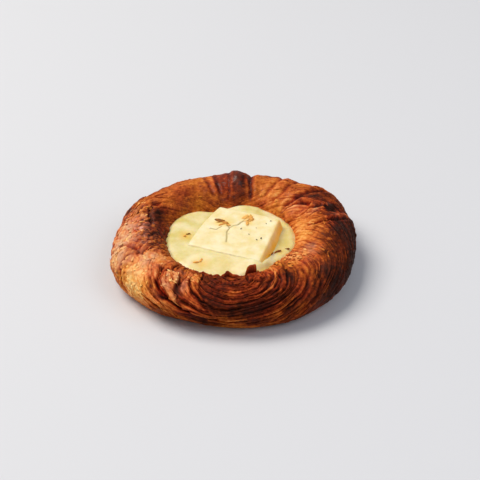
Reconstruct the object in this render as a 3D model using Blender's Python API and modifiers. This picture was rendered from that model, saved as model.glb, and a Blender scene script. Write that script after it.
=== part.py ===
"""Round danish pastry: a ring of laminated dough round a well of pale cream, with a slab of soft cheese set in it.

The origin is the middle of the flat underside. +Z is up, and -Y is the side that shows the cut ends of the layers.
Everything is in metres.
"""

import math

import bmesh
import bpy
import numpy as np

MM = 0.001

# Driving dimensions
WIDTH = 111.0 * MM  # across the ring
RING_HEIGHT = 20.4 * MM  # underside to crest, before the swells
WELL_WIDTH = 59.0 * MM  # between the inner walls
WELL_MIDDLE = (0.6 * MM, 1.0 * MM)  # the well is not quite in the ring's middle
BASE_THICKNESS = 6.0 * MM  # dough under the cream
CREAM_LEVEL = 13.4 * MM  # above the underside
FIT_GAP = 0.3 * MM  # left between pieces that touch

# The roll of dough that makes the ring
ROLL_HALF_WIDTH = (WIDTH - WELL_WIDTH) / 4
RING_RADIUS = (WIDTH + WELL_WIDTH) / 4
ROLL_MIDDLE = RING_HEIGHT / 2
ROLL_RISE = RING_HEIGHT - ROLL_MIDDLE
ROLL_DROP = 1.18 * ROLL_MIDDLE  # more than the middle's height, so that the foot is flat
ROLL_GIRTH = (ROLL_HALF_WIDTH + ROLL_RISE) / 2  # turns an angle round the roll into a length
FOOT_ANGLE = -math.asin(ROLL_MIDDLE / ROLL_DROP)
WALL_FOOT_RADIUS = 2.0 * MM  # rounding where the well's wall meets its floor

# Swells of the dough: where, how far round it reaches (degrees), how far out and how far up it goes
SWELLS = (
    (36, 16, 5.2 * MM, 2.0 * MM),
    (88, 6.5, 0.4 * MM, 2.3 * MM),  # knot where the end of the roll is tucked over
    (66, 11, 0.8 * MM, 1.1 * MM),
    (112, 16, 0.4 * MM, 0.6 * MM),
    (148, 12, 1.4 * MM, 0.7 * MM),
    (166, 11, -1.8 * MM, 0.4 * MM),
    (203, 12, 0.8 * MM, 0.5 * MM),
    (229, 13, 0.9 * MM, -0.2 * MM),
    (270, 30, -1.9 * MM, -1.6 * MM),
    (332, 16, 0.5 * MM, 0.2 * MM),
    (2, 12, 0.7 * MM, 0.9 * MM),
)

# Where the well's wall leaves its circle: place, reach (degrees) and how far it bulges inwards
WALL_BULGES = (
    (106, 12, 3.4 * MM),
    (140, 20, -2.4 * MM),
    (78, 9, -0.8 * MM),
    (10, 26, 1.6 * MM),
    (322, 28, 4.2 * MM),
)

# Creases between folds: place on the crest, turn towards the outer foot, half-width (degrees), depth
CREASES = (
    (21, 12, 2.6, 1.3 * MM),
    (44, 16, 3.0, 1.7 * MM),
    (66, 10, 2.4, 1.1 * MM),
    (79, 3, 2.2, 1.8 * MM),
    (98, -3, 2.2, 1.2 * MM),
    (136, -4, 3.0, 1.6 * MM),
    (190, 3, 3.4, 2.3 * MM),
    (219, 20, 2.2, 1.5 * MM),
)

# Cut end of the roll: its layers show as arcs round a point just inside the front rim
COIL_AZIMUTH = 268.0  # degrees
COIL_INSET = 5.0 * MM  # from the crest towards the well
COIL_REACH = 37.0 * MM
LAYER_PITCH = 7.6 * MM
LAYER_DEPTH = 1.6 * MM
SIDE_FOLD_DEPTH = 0.7 * MM  # the same layers, running over the ring on the right
SIDE_FOLDS = (300, 395)  # degrees, from the front round to the back right

# Slab of soft cheese
SLAB_LENGTH = 34.0 * MM
SLAB_BREADTH = 33.0 * MM
SLAB_THICKNESS = 7.0 * MM
SLAB_TAPER = 0.075  # share by which the front edge is longer than the middle, and the back edge shorter
SLAB_SKEW = -0.12  # sideways shift for each step towards the back
SLAB_EDGE = 1.4 * MM
SLAB_MIDDLE = (WELL_MIDDLE[0] + 1.8 * MM, WELL_MIDDLE[1] + 1.7 * MM, 13.4 * MM)
SLAB_TURN = math.radians(-28.0)
SLAB_TILT = math.radians(3.1)  # up towards the back
SLAB_ROLL = math.radians(-4.2)  # up towards the right

# Cream
CREAM_EDGE_DROP = 1.3 * MM  # how far the surface rounds down where it meets the wall
CREAM_EDGE_WIDTH = 3.0 * MM
# Mounds of the cream: place from the well's middle (x, y), reach and height
MOUNDS = (
    ((-14.0 * MM, -12.0 * MM), 7.0 * MM, 0.8 * MM),
    ((-3.0 * MM, -18.0 * MM), 8.0 * MM, 2.2 * MM),  # lapping up the slab's front edge
    ((9.0 * MM, -23.5 * MM), 8.0 * MM, 3.2 * MM),
    ((8.0 * MM, 24.0 * MM), 7.0 * MM, 1.2 * MM),
    ((-20.0 * MM, 10.0 * MM), 8.0 * MM, 0.9 * MM),
    ((25.0 * MM, -1.0 * MM), 6.0 * MM, -0.5 * MM),
)

RING_STEPS = 150
ROLL_STEPS = 23
CREAM_STEPS = 66
CREAM_RINGS = 10


def smooth_step(value, low, high):
    """0 below low, 1 above high and an S curve between."""
    share = np.clip((value - low) / (high - low), 0.0, 1.0)
    return share * share * (3.0 - 2.0 * share)


def angle_between(azimuth, other):
    """Degrees from other round to azimuth, between -180 and 180."""
    return (azimuth - other + 180.0) % 360.0 - 180.0


def wall_shift(azimuth):
    """How far out the well's wall stands from its circle. The cream shares it, so the two stay a gap apart."""
    turn = np.radians(azimuth)
    outward = WELL_MIDDLE[0] * np.cos(turn) + WELL_MIDDLE[1] * np.sin(turn)
    for place, reach, inward in WALL_BULGES:
        outward -= inward * np.exp(-((angle_between(azimuth, place) / reach) ** 2))
    return outward


def swell(azimuth):
    """Outward and upward growth of the ring at an azimuth."""
    outward = np.zeros_like(azimuth)
    upward = np.zeros_like(azimuth)
    for place, reach, out, up in SWELLS:
        share = np.exp(-((angle_between(azimuth, place) / reach) ** 2))
        outward += out * share
        upward += up * share
    return outward, upward


def crease(azimuth, down):
    """Depth of the creases, which slant from the crest to the foot. down is 0 on the crest and 1 at the foot."""
    depth = np.zeros_like(azimuth)
    for place, slant, half_width, deep in CREASES:
        across = angle_between(azimuth, place + slant * down) / half_width
        depth += deep * np.exp(-(across**2))
    return depth


def layers(azimuth, down):
    """Relief of the laminated layers. down is the length from the crest, along the skin, towards the foot."""
    along = np.radians(angle_between(azimuth, COIL_AZIMUTH)) * RING_RADIUS
    from_coil = np.hypot(along, down + COIL_INSET)
    ridges = 2.0 * np.abs(np.sin(math.pi * from_coil / LAYER_PITCH)) ** 0.8 - 1.0
    on_end = 1.0 - smooth_step(from_coil, 0.85 * COIL_REACH, COIL_REACH)
    start, finish = SIDE_FOLDS
    round_right = (azimuth - start) % 360.0
    span = finish - start
    on_side = smooth_step(round_right, 0, 20) * (1.0 - smooth_step(round_right, span - 15, span))
    depth = np.maximum(LAYER_DEPTH * on_end, SIDE_FOLD_DEPTH * on_side)
    return 0.5 * depth * ridges


def knead(points):
    """Moves the points of the turned ring to where rolling, proving and baking leave the dough."""
    x, y, z = points.T
    radius = np.hypot(x, y)
    azimuth = np.degrees(np.arctan2(y, x)) % 360.0
    turn = np.arctan2(z - ROLL_MIDDLE, radius - RING_RADIUS)
    down = (math.pi / 2 - turn) * ROLL_GIRTH

    outward, upward = swell(azimuth)
    on_ring = smooth_step(radius, WELL_WIDTH / 2, RING_RADIUS)
    in_well = smooth_step(radius, 0.3 * WELL_WIDTH, WELL_WIDTH / 2 - 0.5 * MM) * (1.0 - on_ring)
    above_foot = smooth_step(z, 0.15 * RING_HEIGHT, RING_HEIGHT)
    moved_radius = radius + outward * on_ring + wall_shift(azimuth) * in_well * (z > 0)
    moved_z = z + upward * above_foot * on_ring

    cream_line = math.pi - math.asin((CREAM_LEVEL - ROLL_MIDDLE) / ROLL_RISE)
    bare = 1.0 - smooth_step(turn, cream_line - 0.45, cream_line - 0.1)
    bare *= smooth_step(turn, FOOT_ANGLE, FOOT_ANGLE + 0.5)
    relief = layers(azimuth, down) - crease(azimuth, down / (math.pi / 2 * ROLL_GIRTH))
    moved_radius += relief * bare * np.cos(turn)
    moved_z += relief * bare * np.sin(turn)

    share = moved_radius / np.maximum(radius, 1e-9)
    return np.stack([x * share, y * share, moved_z], axis=1)


def settle(points):
    """Moves the points of the turned cream: its top into mounds, and its side out to the well's wall."""
    x, y, z = points.T
    radius = np.hypot(x, y)
    azimuth = np.degrees(np.arctan2(y, x)) % 360.0
    near_wall = smooth_step(radius, 0.3 * WELL_WIDTH, WELL_WIDTH / 2 - 0.5 * MM)
    share = 1.0 + wall_shift(azimuth) * near_wall / np.maximum(radius, 1e-9)
    height = np.zeros_like(z)
    for (mound_x, mound_y), reach, high in MOUNDS:
        from_mound = np.hypot(x - WELL_MIDDLE[0] - mound_x, y - WELL_MIDDLE[1] - mound_y)
        height += high * np.exp(-((from_mound / reach) ** 2))
    on_top = smooth_step(z, BASE_THICKNESS + 2 * MM, CREAM_LEVEL - CREAM_EDGE_DROP)
    off_wall = 1.0 - smooth_step(radius, WELL_WIDTH / 2 - CREAM_EDGE_WIDTH, WELL_WIDTH / 2)
    return np.stack([x * share, y * share, z + height * on_top * off_wall], axis=1)


def wall_radius(z):
    """Radius of the well's wall at a height: upright below the roll's middle, then leaning out over the roll."""
    rise = np.clip((z - ROLL_MIDDLE) / ROLL_RISE, 0.0, 1.0)
    return RING_RADIUS - ROLL_HALF_WIDTH * math.sqrt(1.0 - rise * rise)


def ring_profile():
    """Half section of the ring and its base as (radius, height), from the well's floor over the crest to the foot."""
    floor_edge = WELL_WIDTH / 2 - WALL_FOOT_RADIUS
    points = [(0.0, BASE_THICKNESS), (0.5 * floor_edge, BASE_THICKNESS), (floor_edge, BASE_THICKNESS)]
    points.append((WELL_WIDTH / 2, BASE_THICKNESS + WALL_FOOT_RADIUS))
    for step in range(ROLL_STEPS + 1):
        turn = math.pi + (FOOT_ANGLE - math.pi) * step / ROLL_STEPS
        height = ROLL_RISE if turn > 0 else ROLL_DROP
        z = ROLL_MIDDLE + height * math.sin(turn)
        points.append((RING_RADIUS + ROLL_HALF_WIDTH * math.cos(turn), max(z, 0.0)))
    foot_radius = points[-1][0]
    points += [(0.75 * foot_radius, 0.0), (0.4 * foot_radius, 0.0), (0.0, 0.0)]
    return points


def cream_profile():
    """Half section of the cream: its top from the middle out, then down the well's wall and along its floor."""
    top_radius = wall_radius(CREAM_LEVEL - CREAM_EDGE_DROP) - FIT_GAP
    points = [(0.0, CREAM_LEVEL)]
    for ring in range(1, CREAM_RINGS + 1):
        radius = top_radius * ring / CREAM_RINGS
        edge = smooth_step(radius, top_radius - CREAM_EDGE_WIDTH, top_radius)
        points.append((radius, CREAM_LEVEL - CREAM_EDGE_DROP * edge))
    floor = BASE_THICKNESS + FIT_GAP
    points.append((WELL_WIDTH / 2 - FIT_GAP, ROLL_MIDDLE))
    points.append((WELL_WIDTH / 2 - FIT_GAP, floor + WALL_FOOT_RADIUS))
    points.append((WELL_WIDTH / 2 - WALL_FOOT_RADIUS - FIT_GAP, floor))
    points.append((0.0, floor))
    return points


def material(name, colour, roughness):
    """A food material with its colour, roughness and no metal."""
    made = bpy.data.materials.new(name)
    made.use_nodes = True
    shader = made.node_tree.nodes["Principled BSDF"]
    shader.inputs["Base Color"].default_value = (*colour, 1.0)
    shader.inputs["Roughness"].default_value = roughness
    shader.inputs["Metallic"].default_value = 0.0
    made.diffuse_color = (*colour, 1.0)
    return made


def turned(name, profile, steps, collection):
    """Turns a half section round the Z axis with a Screw modifier, and applies it."""
    mesh = bpy.data.meshes.new(name)
    links = [(i, i + 1) for i in range(len(profile) - 1)]
    mesh.from_pydata([(radius, 0.0, z) for radius, z in profile], links, [])
    blank = bpy.data.objects.new(name + "_blank", mesh)
    collection.objects.link(blank)
    screw = blank.modifiers.new("turn", "SCREW")
    screw.axis = "Z"
    screw.steps = screw.render_steps = steps
    screw.use_merge_vertices = True
    screw.merge_threshold = 0.00005
    bpy.context.view_layer.update()
    evaluated = blank.evaluated_get(bpy.context.evaluated_depsgraph_get())
    made = bpy.data.objects.new(name, bpy.data.meshes.new_from_object(evaluated))
    collection.objects.link(made)
    bpy.data.objects.remove(blank)
    return made


def reshape(obj, move):
    """Puts every vertex where move sends it."""
    mesh = obj.data
    points = np.empty(len(mesh.vertices) * 3)
    mesh.vertices.foreach_get("co", points)
    mesh.vertices.foreach_set("co", move(points.reshape(-1, 3)).ravel())
    mesh.update()


def finish(obj, skin):
    """Gives a piece its material and smooth shading."""
    obj.data.materials.clear()
    obj.data.materials.append(skin)
    obj.data.shade_smooth()
    obj.data.set_sharp_from_angle(angle=math.radians(40))


def make_crust(collection):
    crust = turned("crust", ring_profile(), RING_STEPS, collection)
    reshape(crust, knead)
    finish(crust, material("baked_laminated_dough", (0.36, 0.115, 0.03), 0.5))
    return crust


def slab_block(name, grow, extra_height, collection):
    """The slab as a block, tapered towards the back and set in place. grow adds to every side, for its cutter."""
    bpy.ops.mesh.primitive_cube_add(size=1.0)
    block = bpy.context.active_object
    block.name = block.data.name = name
    for other in list(block.users_collection):
        other.objects.unlink(block)
    collection.objects.link(block)
    sheet = bmesh.new()
    sheet.from_mesh(block.data)
    for vertex in sheet.verts:
        taper = 1.0 - 2.0 * SLAB_TAPER * vertex.co.y
        skew = SLAB_SKEW * SLAB_BREADTH * vertex.co.y
        lift = extra_height if vertex.co.z > 0 else 0.0
        vertex.co.x = vertex.co.x * (SLAB_LENGTH * taper + 2 * grow) + skew
        vertex.co.y *= SLAB_BREADTH + 2 * grow
        vertex.co.z = vertex.co.z * (SLAB_THICKNESS + 2 * grow) + lift
    sheet.to_mesh(block.data)
    sheet.free()
    block.location = SLAB_MIDDLE
    block.rotation_euler = (SLAB_TILT, SLAB_ROLL, SLAB_TURN)
    return block


def make_slab(collection):
    slab = slab_block("cheese_slab", 0.0, 0.0, collection)
    finish(slab, material("soft_cheese", (0.93, 0.80, 0.48), 0.45))
    rounding = slab.modifiers.new("rounded_edges", "BEVEL")
    rounding.width = SLAB_EDGE
    rounding.segments = 4
    rounding.limit_method = "NONE"
    return slab


def make_cream(collection, cutters):
    cream = turned("cream", cream_profile(), CREAM_STEPS, collection)
    reshape(cream, settle)
    finish(cream, material("set_cream", (0.84, 0.72, 0.34), 0.4))
    pocket = slab_block("slab_pocket", FIT_GAP, 2 * SLAB_THICKNESS, cutters)
    pocket.hide_render = True
    pocket.display_type = "WIRE"
    cut = cream.modifiers.new("slab_pocket", "BOOLEAN")
    cut.operation = "DIFFERENCE"
    cut.object = pocket
    return cream


def centre_on_underside(crust, pieces):
    """Shifts all pieces together, so that the crust's box is centred on the Z axis."""
    x_places = [vertex.co.x for vertex in crust.data.vertices]
    y_places = [vertex.co.y for vertex in crust.data.vertices]
    for piece in pieces:
        piece.location.x -= (min(x_places) + max(x_places)) / 2
        piece.location.y -= (min(y_places) + max(y_places)) / 2


def main():
    for obj in list(bpy.data.objects):
        bpy.data.objects.remove(obj)
    pastry = bpy.data.collections.new("danish_pastry")
    cutters = bpy.data.collections.new("cutters")
    for collection in (pastry, cutters):
        bpy.context.scene.collection.children.link(collection)

    crust = make_crust(pastry)
    slab = make_slab(pastry)
    cream = make_cream(pastry, cutters)

    centre_on_underside(crust, [crust, slab, cream, *cutters.objects])


main()
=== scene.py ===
"""Looks of the danish pastry: flaky crust, baked cream in its well, soft cheese slab and crumbs.

Lengths are in metres, unless a comment gives another unit."""

import math

import bmesh
import bpy
import numpy as np
from mathutils import Euler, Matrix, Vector, noise


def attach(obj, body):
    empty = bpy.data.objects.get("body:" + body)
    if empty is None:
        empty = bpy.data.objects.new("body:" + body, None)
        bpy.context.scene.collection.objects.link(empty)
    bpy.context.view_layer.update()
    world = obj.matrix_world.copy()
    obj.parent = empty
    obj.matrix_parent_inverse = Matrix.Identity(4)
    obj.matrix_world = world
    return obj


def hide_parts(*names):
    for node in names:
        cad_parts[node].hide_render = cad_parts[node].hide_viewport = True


MM = 0.001
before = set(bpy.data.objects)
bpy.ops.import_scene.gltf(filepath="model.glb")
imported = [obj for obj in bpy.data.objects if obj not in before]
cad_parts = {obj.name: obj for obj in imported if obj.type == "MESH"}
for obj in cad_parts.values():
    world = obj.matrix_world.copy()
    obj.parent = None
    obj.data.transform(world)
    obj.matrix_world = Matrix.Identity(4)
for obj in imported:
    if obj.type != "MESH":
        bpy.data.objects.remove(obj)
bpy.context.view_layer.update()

# ---------------------------------------------------------------- the pastry's sizes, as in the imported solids

RING_MIDDLE = (-0.64 * MM, -1.02 * MM)
WIDTH = 111.0 * MM
RING_HEIGHT = 20.4 * MM
WELL_WIDTH = 59.0 * MM
WELL_MIDDLE = (0.6 * MM, 1.0 * MM)
BASE_THICKNESS = 6.0 * MM
CREAM_LEVEL = 13.4 * MM

ROLL_HALF_WIDTH = (WIDTH - WELL_WIDTH) / 4
RING_RADIUS = (WIDTH + WELL_WIDTH) / 4
ROLL_MIDDLE = RING_HEIGHT / 2
ROLL_RISE = RING_HEIGHT - ROLL_MIDDLE
ROLL_DROP = 1.18 * ROLL_MIDDLE
ROLL_GIRTH = (ROLL_HALF_WIDTH + ROLL_RISE) / 2  # turns an angle round the roll into a length
MM_PER_DEGREE = RING_RADIUS / MM * math.pi / 180.0  # round the ring, at the crest
FOOT_ANGLE = -math.asin(ROLL_MIDDLE / ROLL_DROP)

# Swells of the dough: azimuth, reach (degrees), how far out and how far up it goes
SWELLS = (
    (36, 16, 5.2 * MM, 2.0 * MM),
    (88, 6.5, 0.4 * MM, 2.3 * MM),
    (66, 11, 0.8 * MM, 1.1 * MM),
    (112, 16, 0.4 * MM, 0.6 * MM),
    (148, 12, 1.4 * MM, 0.7 * MM),
    (166, 11, -1.8 * MM, 0.4 * MM),
    (203, 12, 0.8 * MM, 0.5 * MM),
    (229, 13, 0.9 * MM, -0.2 * MM),
    (270, 30, -1.9 * MM, -1.6 * MM),
    (332, 16, 0.5 * MM, 0.2 * MM),
    (2, 12, 0.7 * MM, 0.9 * MM),
)
# Bulges of the well's wall: azimuth, reach (degrees) and how far inwards
WALL_BULGES = (
    (106, 12, 3.4 * MM),
    (140, 20, -2.4 * MM),
    (78, 9, -0.8 * MM),
    (10, 26, 1.6 * MM),
    (322, 28, 4.2 * MM),
)

# Slab of soft cheese
SLAB_LENGTH = 34.0 * MM
SLAB_BREADTH = 33.0 * MM
SLAB_THICKNESS = 7.0 * MM
SLAB_TAPER = 0.075
SLAB_SKEW = -0.12
SLAB_EDGE = 2.2 * MM
SLAB_FLARE = 3.6 * MM  # how far the foot of its right side stands out
SLAB_MIDDLE = Vector((WELL_MIDDLE[0] + 1.8 * MM, WELL_MIDDLE[1] + 1.7 * MM, 13.4 * MM))
SLAB_TURN = Euler((math.radians(3.1), math.radians(-4.2), math.radians(-28.0)))

# ---------------------------------------------------------------- how the dough's surface runs

# Cut end of the roll: its layers are arcs round a point just inside the front rim, wider than they are deep
COIL_AZIMUTH = 269.0
COIL_INSET = 8.0 * MM
COIL_STRETCH = 1.5
COIL_SQUAT = 0.8
COIL_SQUARE = 2.25  # 2 makes the arcs elliptic, more makes them squarer
COIL_FAN = 19.5  # how much the arcs spread towards the rim, as a share for each metre up the skin
COIL_SPAN = (224, 323)  # degrees, from the smooth skin on the left to the turned side on the right

# Creases where one fold of the skin laps over the next: points (azimuth, length down from the crest in mm),
# then half-width, depth and how far the fold on the crease's left stands proud, all in mm
CREASES = {
    "lump_top": (
        ((188, 18), (190.5, 12), (191.5, 8), (194, 4.6), (197.5, 2.6), (201, 1.5), (205.5, 1.6)),
        0.8, 1.0, 0.35,
    ),
    "skin_top": (
        ((205.5, 2), (207.4, 0.8), (205, -1.8), (202.6, -4.2), (202.8, -6.4), (205.6, -8.3), (209.6, -11)),
        0.7, 1.0, -0.4,
    ),
    "skin_tuck": (((223.4, -0.4), (226, -1.4), (229, -2.4), (232.6, -2.8)), 0.6, 1.0, 0.0),
    "skin_left": (
        ((206.6, 2), (204, 4), (203, 5.8), (203.6, 8), (205, 10.8), (207, 13.4), (210, 18), (213, 26)),
        0.7, 0.8, -0.3,
    ),
    "skin_right": (
        ((224, -5), (225.4, 0), (227.6, 3), (230.2, 5.6), (232.8, 7.5), (236, 9.6), (239, 11.8),
         (242.4, 13.9), (247, 15.4), (257, 17)),
        0.8, 1.8, 0.3,
    ),
    "skin_fold": (
        ((228, 5.2), (229.8, 6.9), (232.2, 8.9), (234.4, 10.5), (236.8, 12.1), (239.6, 13.3), (243, 14.4)),
        0.6, 1.3, 0.2,
    ),
    "skin_low": (
        ((222.6, 14.6), (226.5, 15.3), (230.8, 16.4), (234, 17.8), (237.4, 18.6), (241, 19.6), (247, 20.8),
         (254, 22)),
        0.8, 1.3, 0.3,
    ),
    "skin_slit": (((223.8, 10.6), (224.8, 12.8), (225.8, 15)), 0.7, 0.9, 0.1),
    "skin_slit_2": (((224.6, 5.4), (226.8, 7.8), (229.4, 10.2), (231.2, 12.8)), 0.7, 0.7, 0.2),
    "gap_1": (
        ((240.4, 1), (241, 4.6), (242.6, 7.4), (244.6, 9.8), (247, 11.8), (251, 13.3), (257, 14.8)),
        0.8, 0.85, 0.0,
    ),
    "gap_2": (((245.4, -1), (247.4, 3.4), (250.4, 6.8), (254.6, 9.2), (261, 11.6)), 0.45, 0.9, 0.2),
    "loop_edge": (((302.8, -8), (301.8, -3), (299, 1.8), (294, 6), (284, 9)), 0.5, 0.8, -0.2),
    "loop_hollow": (((297.4, -6), (296.6, -2.5), (294, 0.4), (289, 3)), 0.6, 0.8, 0.1),
    "valley_1": (
        ((308.5, -8), (307.5, -3), (305.6, 2), (301.5, 6.5), (294.5, 10), (285, 12)),
        0.9, 0.6, 0.2,
    ),
    "valley_2": (((315, -2), (313.8, 4), (311, 8), (306, 12), (299, 15.5), (290, 18)), 0.8, 0.7, 0.2),
    "valley_3": (((320, 4), (318, 10), (312, 15.5), (304, 19), (294, 21.5)), 0.8, 0.6, 0.2),
    "low_hollow": (((246, 17), (253, 20), (261, 21.5), (266, 21)), 1.4, 1.1, 0.0),
    "left_dip": (((142, -4), (149, -1.8), (156, -1), (163, -1.4), (169, -3), (174, -7)), 1.2, 1.3, -0.5),
    "left_rim": (((133, 0.5), (140, 1.8), (147, 4.2), (154, 7.6), (160, 10.4), (166, 14.5)), 0.9, 1.1, 0.3),
    "left_line_1": (((152, 0.5), (158, 3), (164, 3.5), (171, 6.5), (178, 12)), 0.5, 0.8, 0.2),
    "left_line_3": (((176, -10), (181, -6.5), (188, -4.5), (196, -4)), 0.5, 0.6, -0.2),
    "knot_left": (((92, 12), (92.5, 3), (93, -4), (93, -14)), 0.8, 0.4, -0.1),
    "strip_left": (((106.5, 8), (107, 0), (105, -9)), 0.8, 0.3, 0.0),
    "strip_right": (((100.5, 8), (100.5, 0), (99.5, -9)), 0.8, 0.5, 0.0),
    "knot_right": (((78.5, 14), (79, 4), (77.5, -3), (75.5, -8), (75.5, -14)), 1.1, 0.8, 0.4),
    "fold_1": (((60, 12), (61, 5), (62, -3), (66, -11)), 1.1, 0.5, 0.3),
    "fold_2": (((50, 12), (53, 5), (53.5, -5), (58, -13)), 1.1, 0.6, 0.3),
    "fold_3": (((36, 10), (38.5, 2), (41, -3), (44, -8), (46, -13)), 1.1, 0.9, -0.5),
    "leaf_top": (
        ((44, -12), (41.6, -9.4), (39.4, -7.2), (36, -5.6), (32, -4.6), (28, -4.4)),
        0.6, 1.3, 0.0,
    ),
    "pit": (((28.6, -5.2), (26.6, -3.4), (24.8, -1.8), (23.6, 0.4)), 1.0, 1.5, -0.5),
    "pit_tail": (((26.8, -3.2), (26, -5.6), (25.6, -8), (26.4, -10.5)), 0.5, 1.0, 0.1),
    "red_fold": (((20, -8), (19.4, -5), (20.6, -2.2), (20.6, 0.6), (18.4, 3)), 0.5, 0.8, -0.3),
    "dark_side": (((25.5, 1), (22.4, 2.4), (19.6, 3.6), (16.8, 5.6)), 1.4, 0.9, 0.1),
    "side_line": (((11, -9), (8.6, -4), (9, 0), (9.4, 4.6), (12, 9), (14.5, 14)), 0.8, 1.0, 0.6),
    "back_1": (((74, 26), (92, 19), (112, 15), (132, 18)), 1.0, 1.2, 0.4),
    "back_2": (((100, 28), (122, 22), (143, 20), (160, 26)), 0.9, 1.1, 0.4),
    "back_3": (((20, 26), (34, 20), (52, 18), (70, 22)), 1.0, 1.2, 0.4),
}

# How brown the crust baked, from 0 (pale gold) to 1 (black)
BROWNING = 0.53
# Skin paler than these limits is brought most of the way back to them: the limit and the share that is left
PALE_LIMIT = (0.14, 0.35)
PALE_LIMIT_END = (0.36, 0.3)  # on the roll's cut end
# Spots that baked darker or paler, and spots of painted shade in creases, pits and valleys and of painted
# highlight on glossy strips: azimuth, length down (mm), reach (degrees), reach (mm), how much darker
BROWNING_AND_PAINTED_LIGHT = (
    (216, 8, 10, 12, -0.57),  # smooth skin on the front left
    (216, 22, 14, 6, -0.26),
    (210, 19, 10, 6, 0.22),
    (210, -2, 6, 4, -0.16),
    # painted shade in the hollow at the top of the lump
    (205, 1.5, 2.4, 1.5, 0.34),
    (199.5, 3.4, 4, 2, 0.14),
    # painted shadow where the skin meets the cream
    (208.6, -9, 2.4, 2, 0.22),
    # painted shade in the tucked crease
    (224, -0.3, 2.2, 1.4, 0.22),
    # painted shade in a pit
    (156.5, -6, 4.5, 2.2, 0.16),
    (195, 12, 8, 8, -0.33),
    (183, 8, 12, 7, -0.64),
    (180, -5, 18, 5, 0.13),
    (178, -13, 24, 5, 0.20),
    (155, -5, 10, 4.5, 0.25),
    (168, -3, 6, 3.5, 0.14),
    # painted shade of the fold, along the outline
    (154, 10.5, 14, 2.6, 0.30),
    (167, 0, 2.5, 1.6, -0.34),
    (229.5, 11, 2, 3, -0.12),
    # painted shade in the valleys beside the first tongue
    (238.6, 11.7, 1.8, 1.0, 0.3),
    (236.6, 12, 2.6, 1.0, 0.22),
    (325, 6.5, 9, 4.5, 0.25),
    (339, -3, 6, 3, -0.14),
    (336, 1, 5, 2.6, 0.12),
    (4, -5, 6, 3, 0.18),
    (243, 19, 8, 3, -0.18),
    (219, 0.5, 5, 3, 0.22),
    # painted shade in the valley beside the second tongue
    (243, 8.6, 1.4, 2.2, 0.08),
    (246.8, 11.8, 2.4, 1.1, 0.26),
    (235, 14.8, 4, 1.2, -0.12),
    (213.5, 3, 3, 1.6, 0.12),
    # painted shade in the slits and in the low valley
    (225, 13.2, 1, 2.2, 0.18),
    (228.2, 9.2, 1.2, 2.4, 0.14),
    (232, 17, 5, 1.1, 0.18),
    (202, 11, 5, 4, -0.13),
    (26, 6, 4, 3, -0.13),
    (249, 16, 4, 2, -0.08),
    (245, 7, 2, 3, -0.12),
    (212, 19, 6, 4, -0.08),
    (192, 8, 4, 4, 0.08),
    (235, 5, 2.6, 4, -0.12),
    (240, 10.5, 3.4, 2.6, -0.08),
    (161, 9, 9, 7, 0.04),
    (158, 4, 7, 3, -0.08),
    (163, 8, 3, 2, -0.16),
    (122, -4, 20, 10, 0.10),
    (122, 2, 12, 3, -0.08),
    (98, -6, 5, 12, 0.04),
    # a painted highlight on the pale strip beside the knot
    (103.5, 0, 1.6, 5, -0.26),
    (84, -4, 7, 16, 0.26),
    (62, -4, 15, 10, -0.12),
    (33, -8, 6, 5, -0.06),
    (47, 4, 10, 5, -0.10),
    (35, -2.4, 4, 2, 0.14),
    (47, -6, 3, 4, -0.16),
    (37, -8.4, 4, 1.6, -0.16),
    # painted shadow above the leaf
    (38, -5.2, 2.4, 0.8, 0.20),
    # painted shade in the pits
    (25.6, -2.8, 1.6, 1.4, 0.22),
    (20.5, 3.4, 3.2, 2, 0.34),
    (13, -1, 9, 4, 0.12),
    (8, 8, 7, 6, 0.13),
    # a painted highlight on a glossy streak
    (12.2, 5.6, 1.3, 2, -0.30),
    (15.2, 9.4, 1.6, 2.6, -0.34),
    (21.6, -2.8, 1.3, 2.6, -0.24),
    (2, -9, 26, 7, -0.30),
    (325, -7, 10, 5, -0.24),
    (315, 10, 12, 14, -0.06),
    (5, 4, 26, 5, 0.26),
    (345, 0, 12, 6, 0.10),
    (350, 14, 34, 9, 0.42),
    (350, 25, 44, 8, 0.26),
    (60, 20, 34, 10, 0.22),
    (268, -4, 22, 3, 0.10),
    (270, 8, 28, 8, 0.31),
    (266, 20, 30, 6, 0.16),
    (300, 12, 14, 12, 0.10),
    (270.5, 4.6, 5, 2.0, -0.28),
    (253, 13, 6, 2.5, -0.22),
    (240, 8, 10, 8, -0.11),
    (271, 23, 7, 3, -0.22),
    # painted shade in the low hollow
    (257, 21, 7, 3, 0.18),
    (304, 18, 9, 5, -0.08),
    # painted shade in the first valley
    (305, -1, 2.5, 5, 0.17),
    (322, 14, 10, 8, 0.06),
    # painted shade round the dark pit
    (21, 3.5, 4, 3, 0.26),
    (34, 1, 7, 4, 0.10),
    (45, -7, 4, 3, -0.08),
    (31, -5, 12, 8, 0.08),
    (18, -6, 8, 5, 0.04),
    (226, 16, 7, 5, -0.14),
    (236, 15.6, 6, 2.2, -0.2),
    (246, 7, 3, 5, -0.06),
    (248, 0.6, 2.4, 3.6, -0.30),
    (208, 14, 6, 8, 0.16),
    (60, 0, 14, 8, 0.04),
)

# Where the brown leans to gold (above 0) or to red (below 0), laid out like the browning
GOLDEN = 0.40
WARMTH = (
    (213, 16, 14, 10, 0.30),
    (216, 1, 12, 6, -0.25),
    (182, 8, 14, 9, -0.50),
    (268, 27, 30, 6, 0.30),
    (5, -10, 30, 6, 0.05),
    (33, -6, 14, 9, -0.34),
    (60, -2, 14, 8, 0.08),
    (22, -3, 7, 5, -0.4),
    # pinker on the glossy streak, part of its painted sheen
    (12, 8, 6, 5, -0.35),
    (195, 12, 8, 8, -0.3),
    (88, 0, 12, 14, -0.35),
    (125, -4, 14, 6, -0.22),
    (190, 0, 14, 6, -0.10),
    (268, 6, 44, 14, -0.42),
    (249, 16, 6, 4, -0.3),
    (112, -12, 22, 6, 0.20),
)

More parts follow.
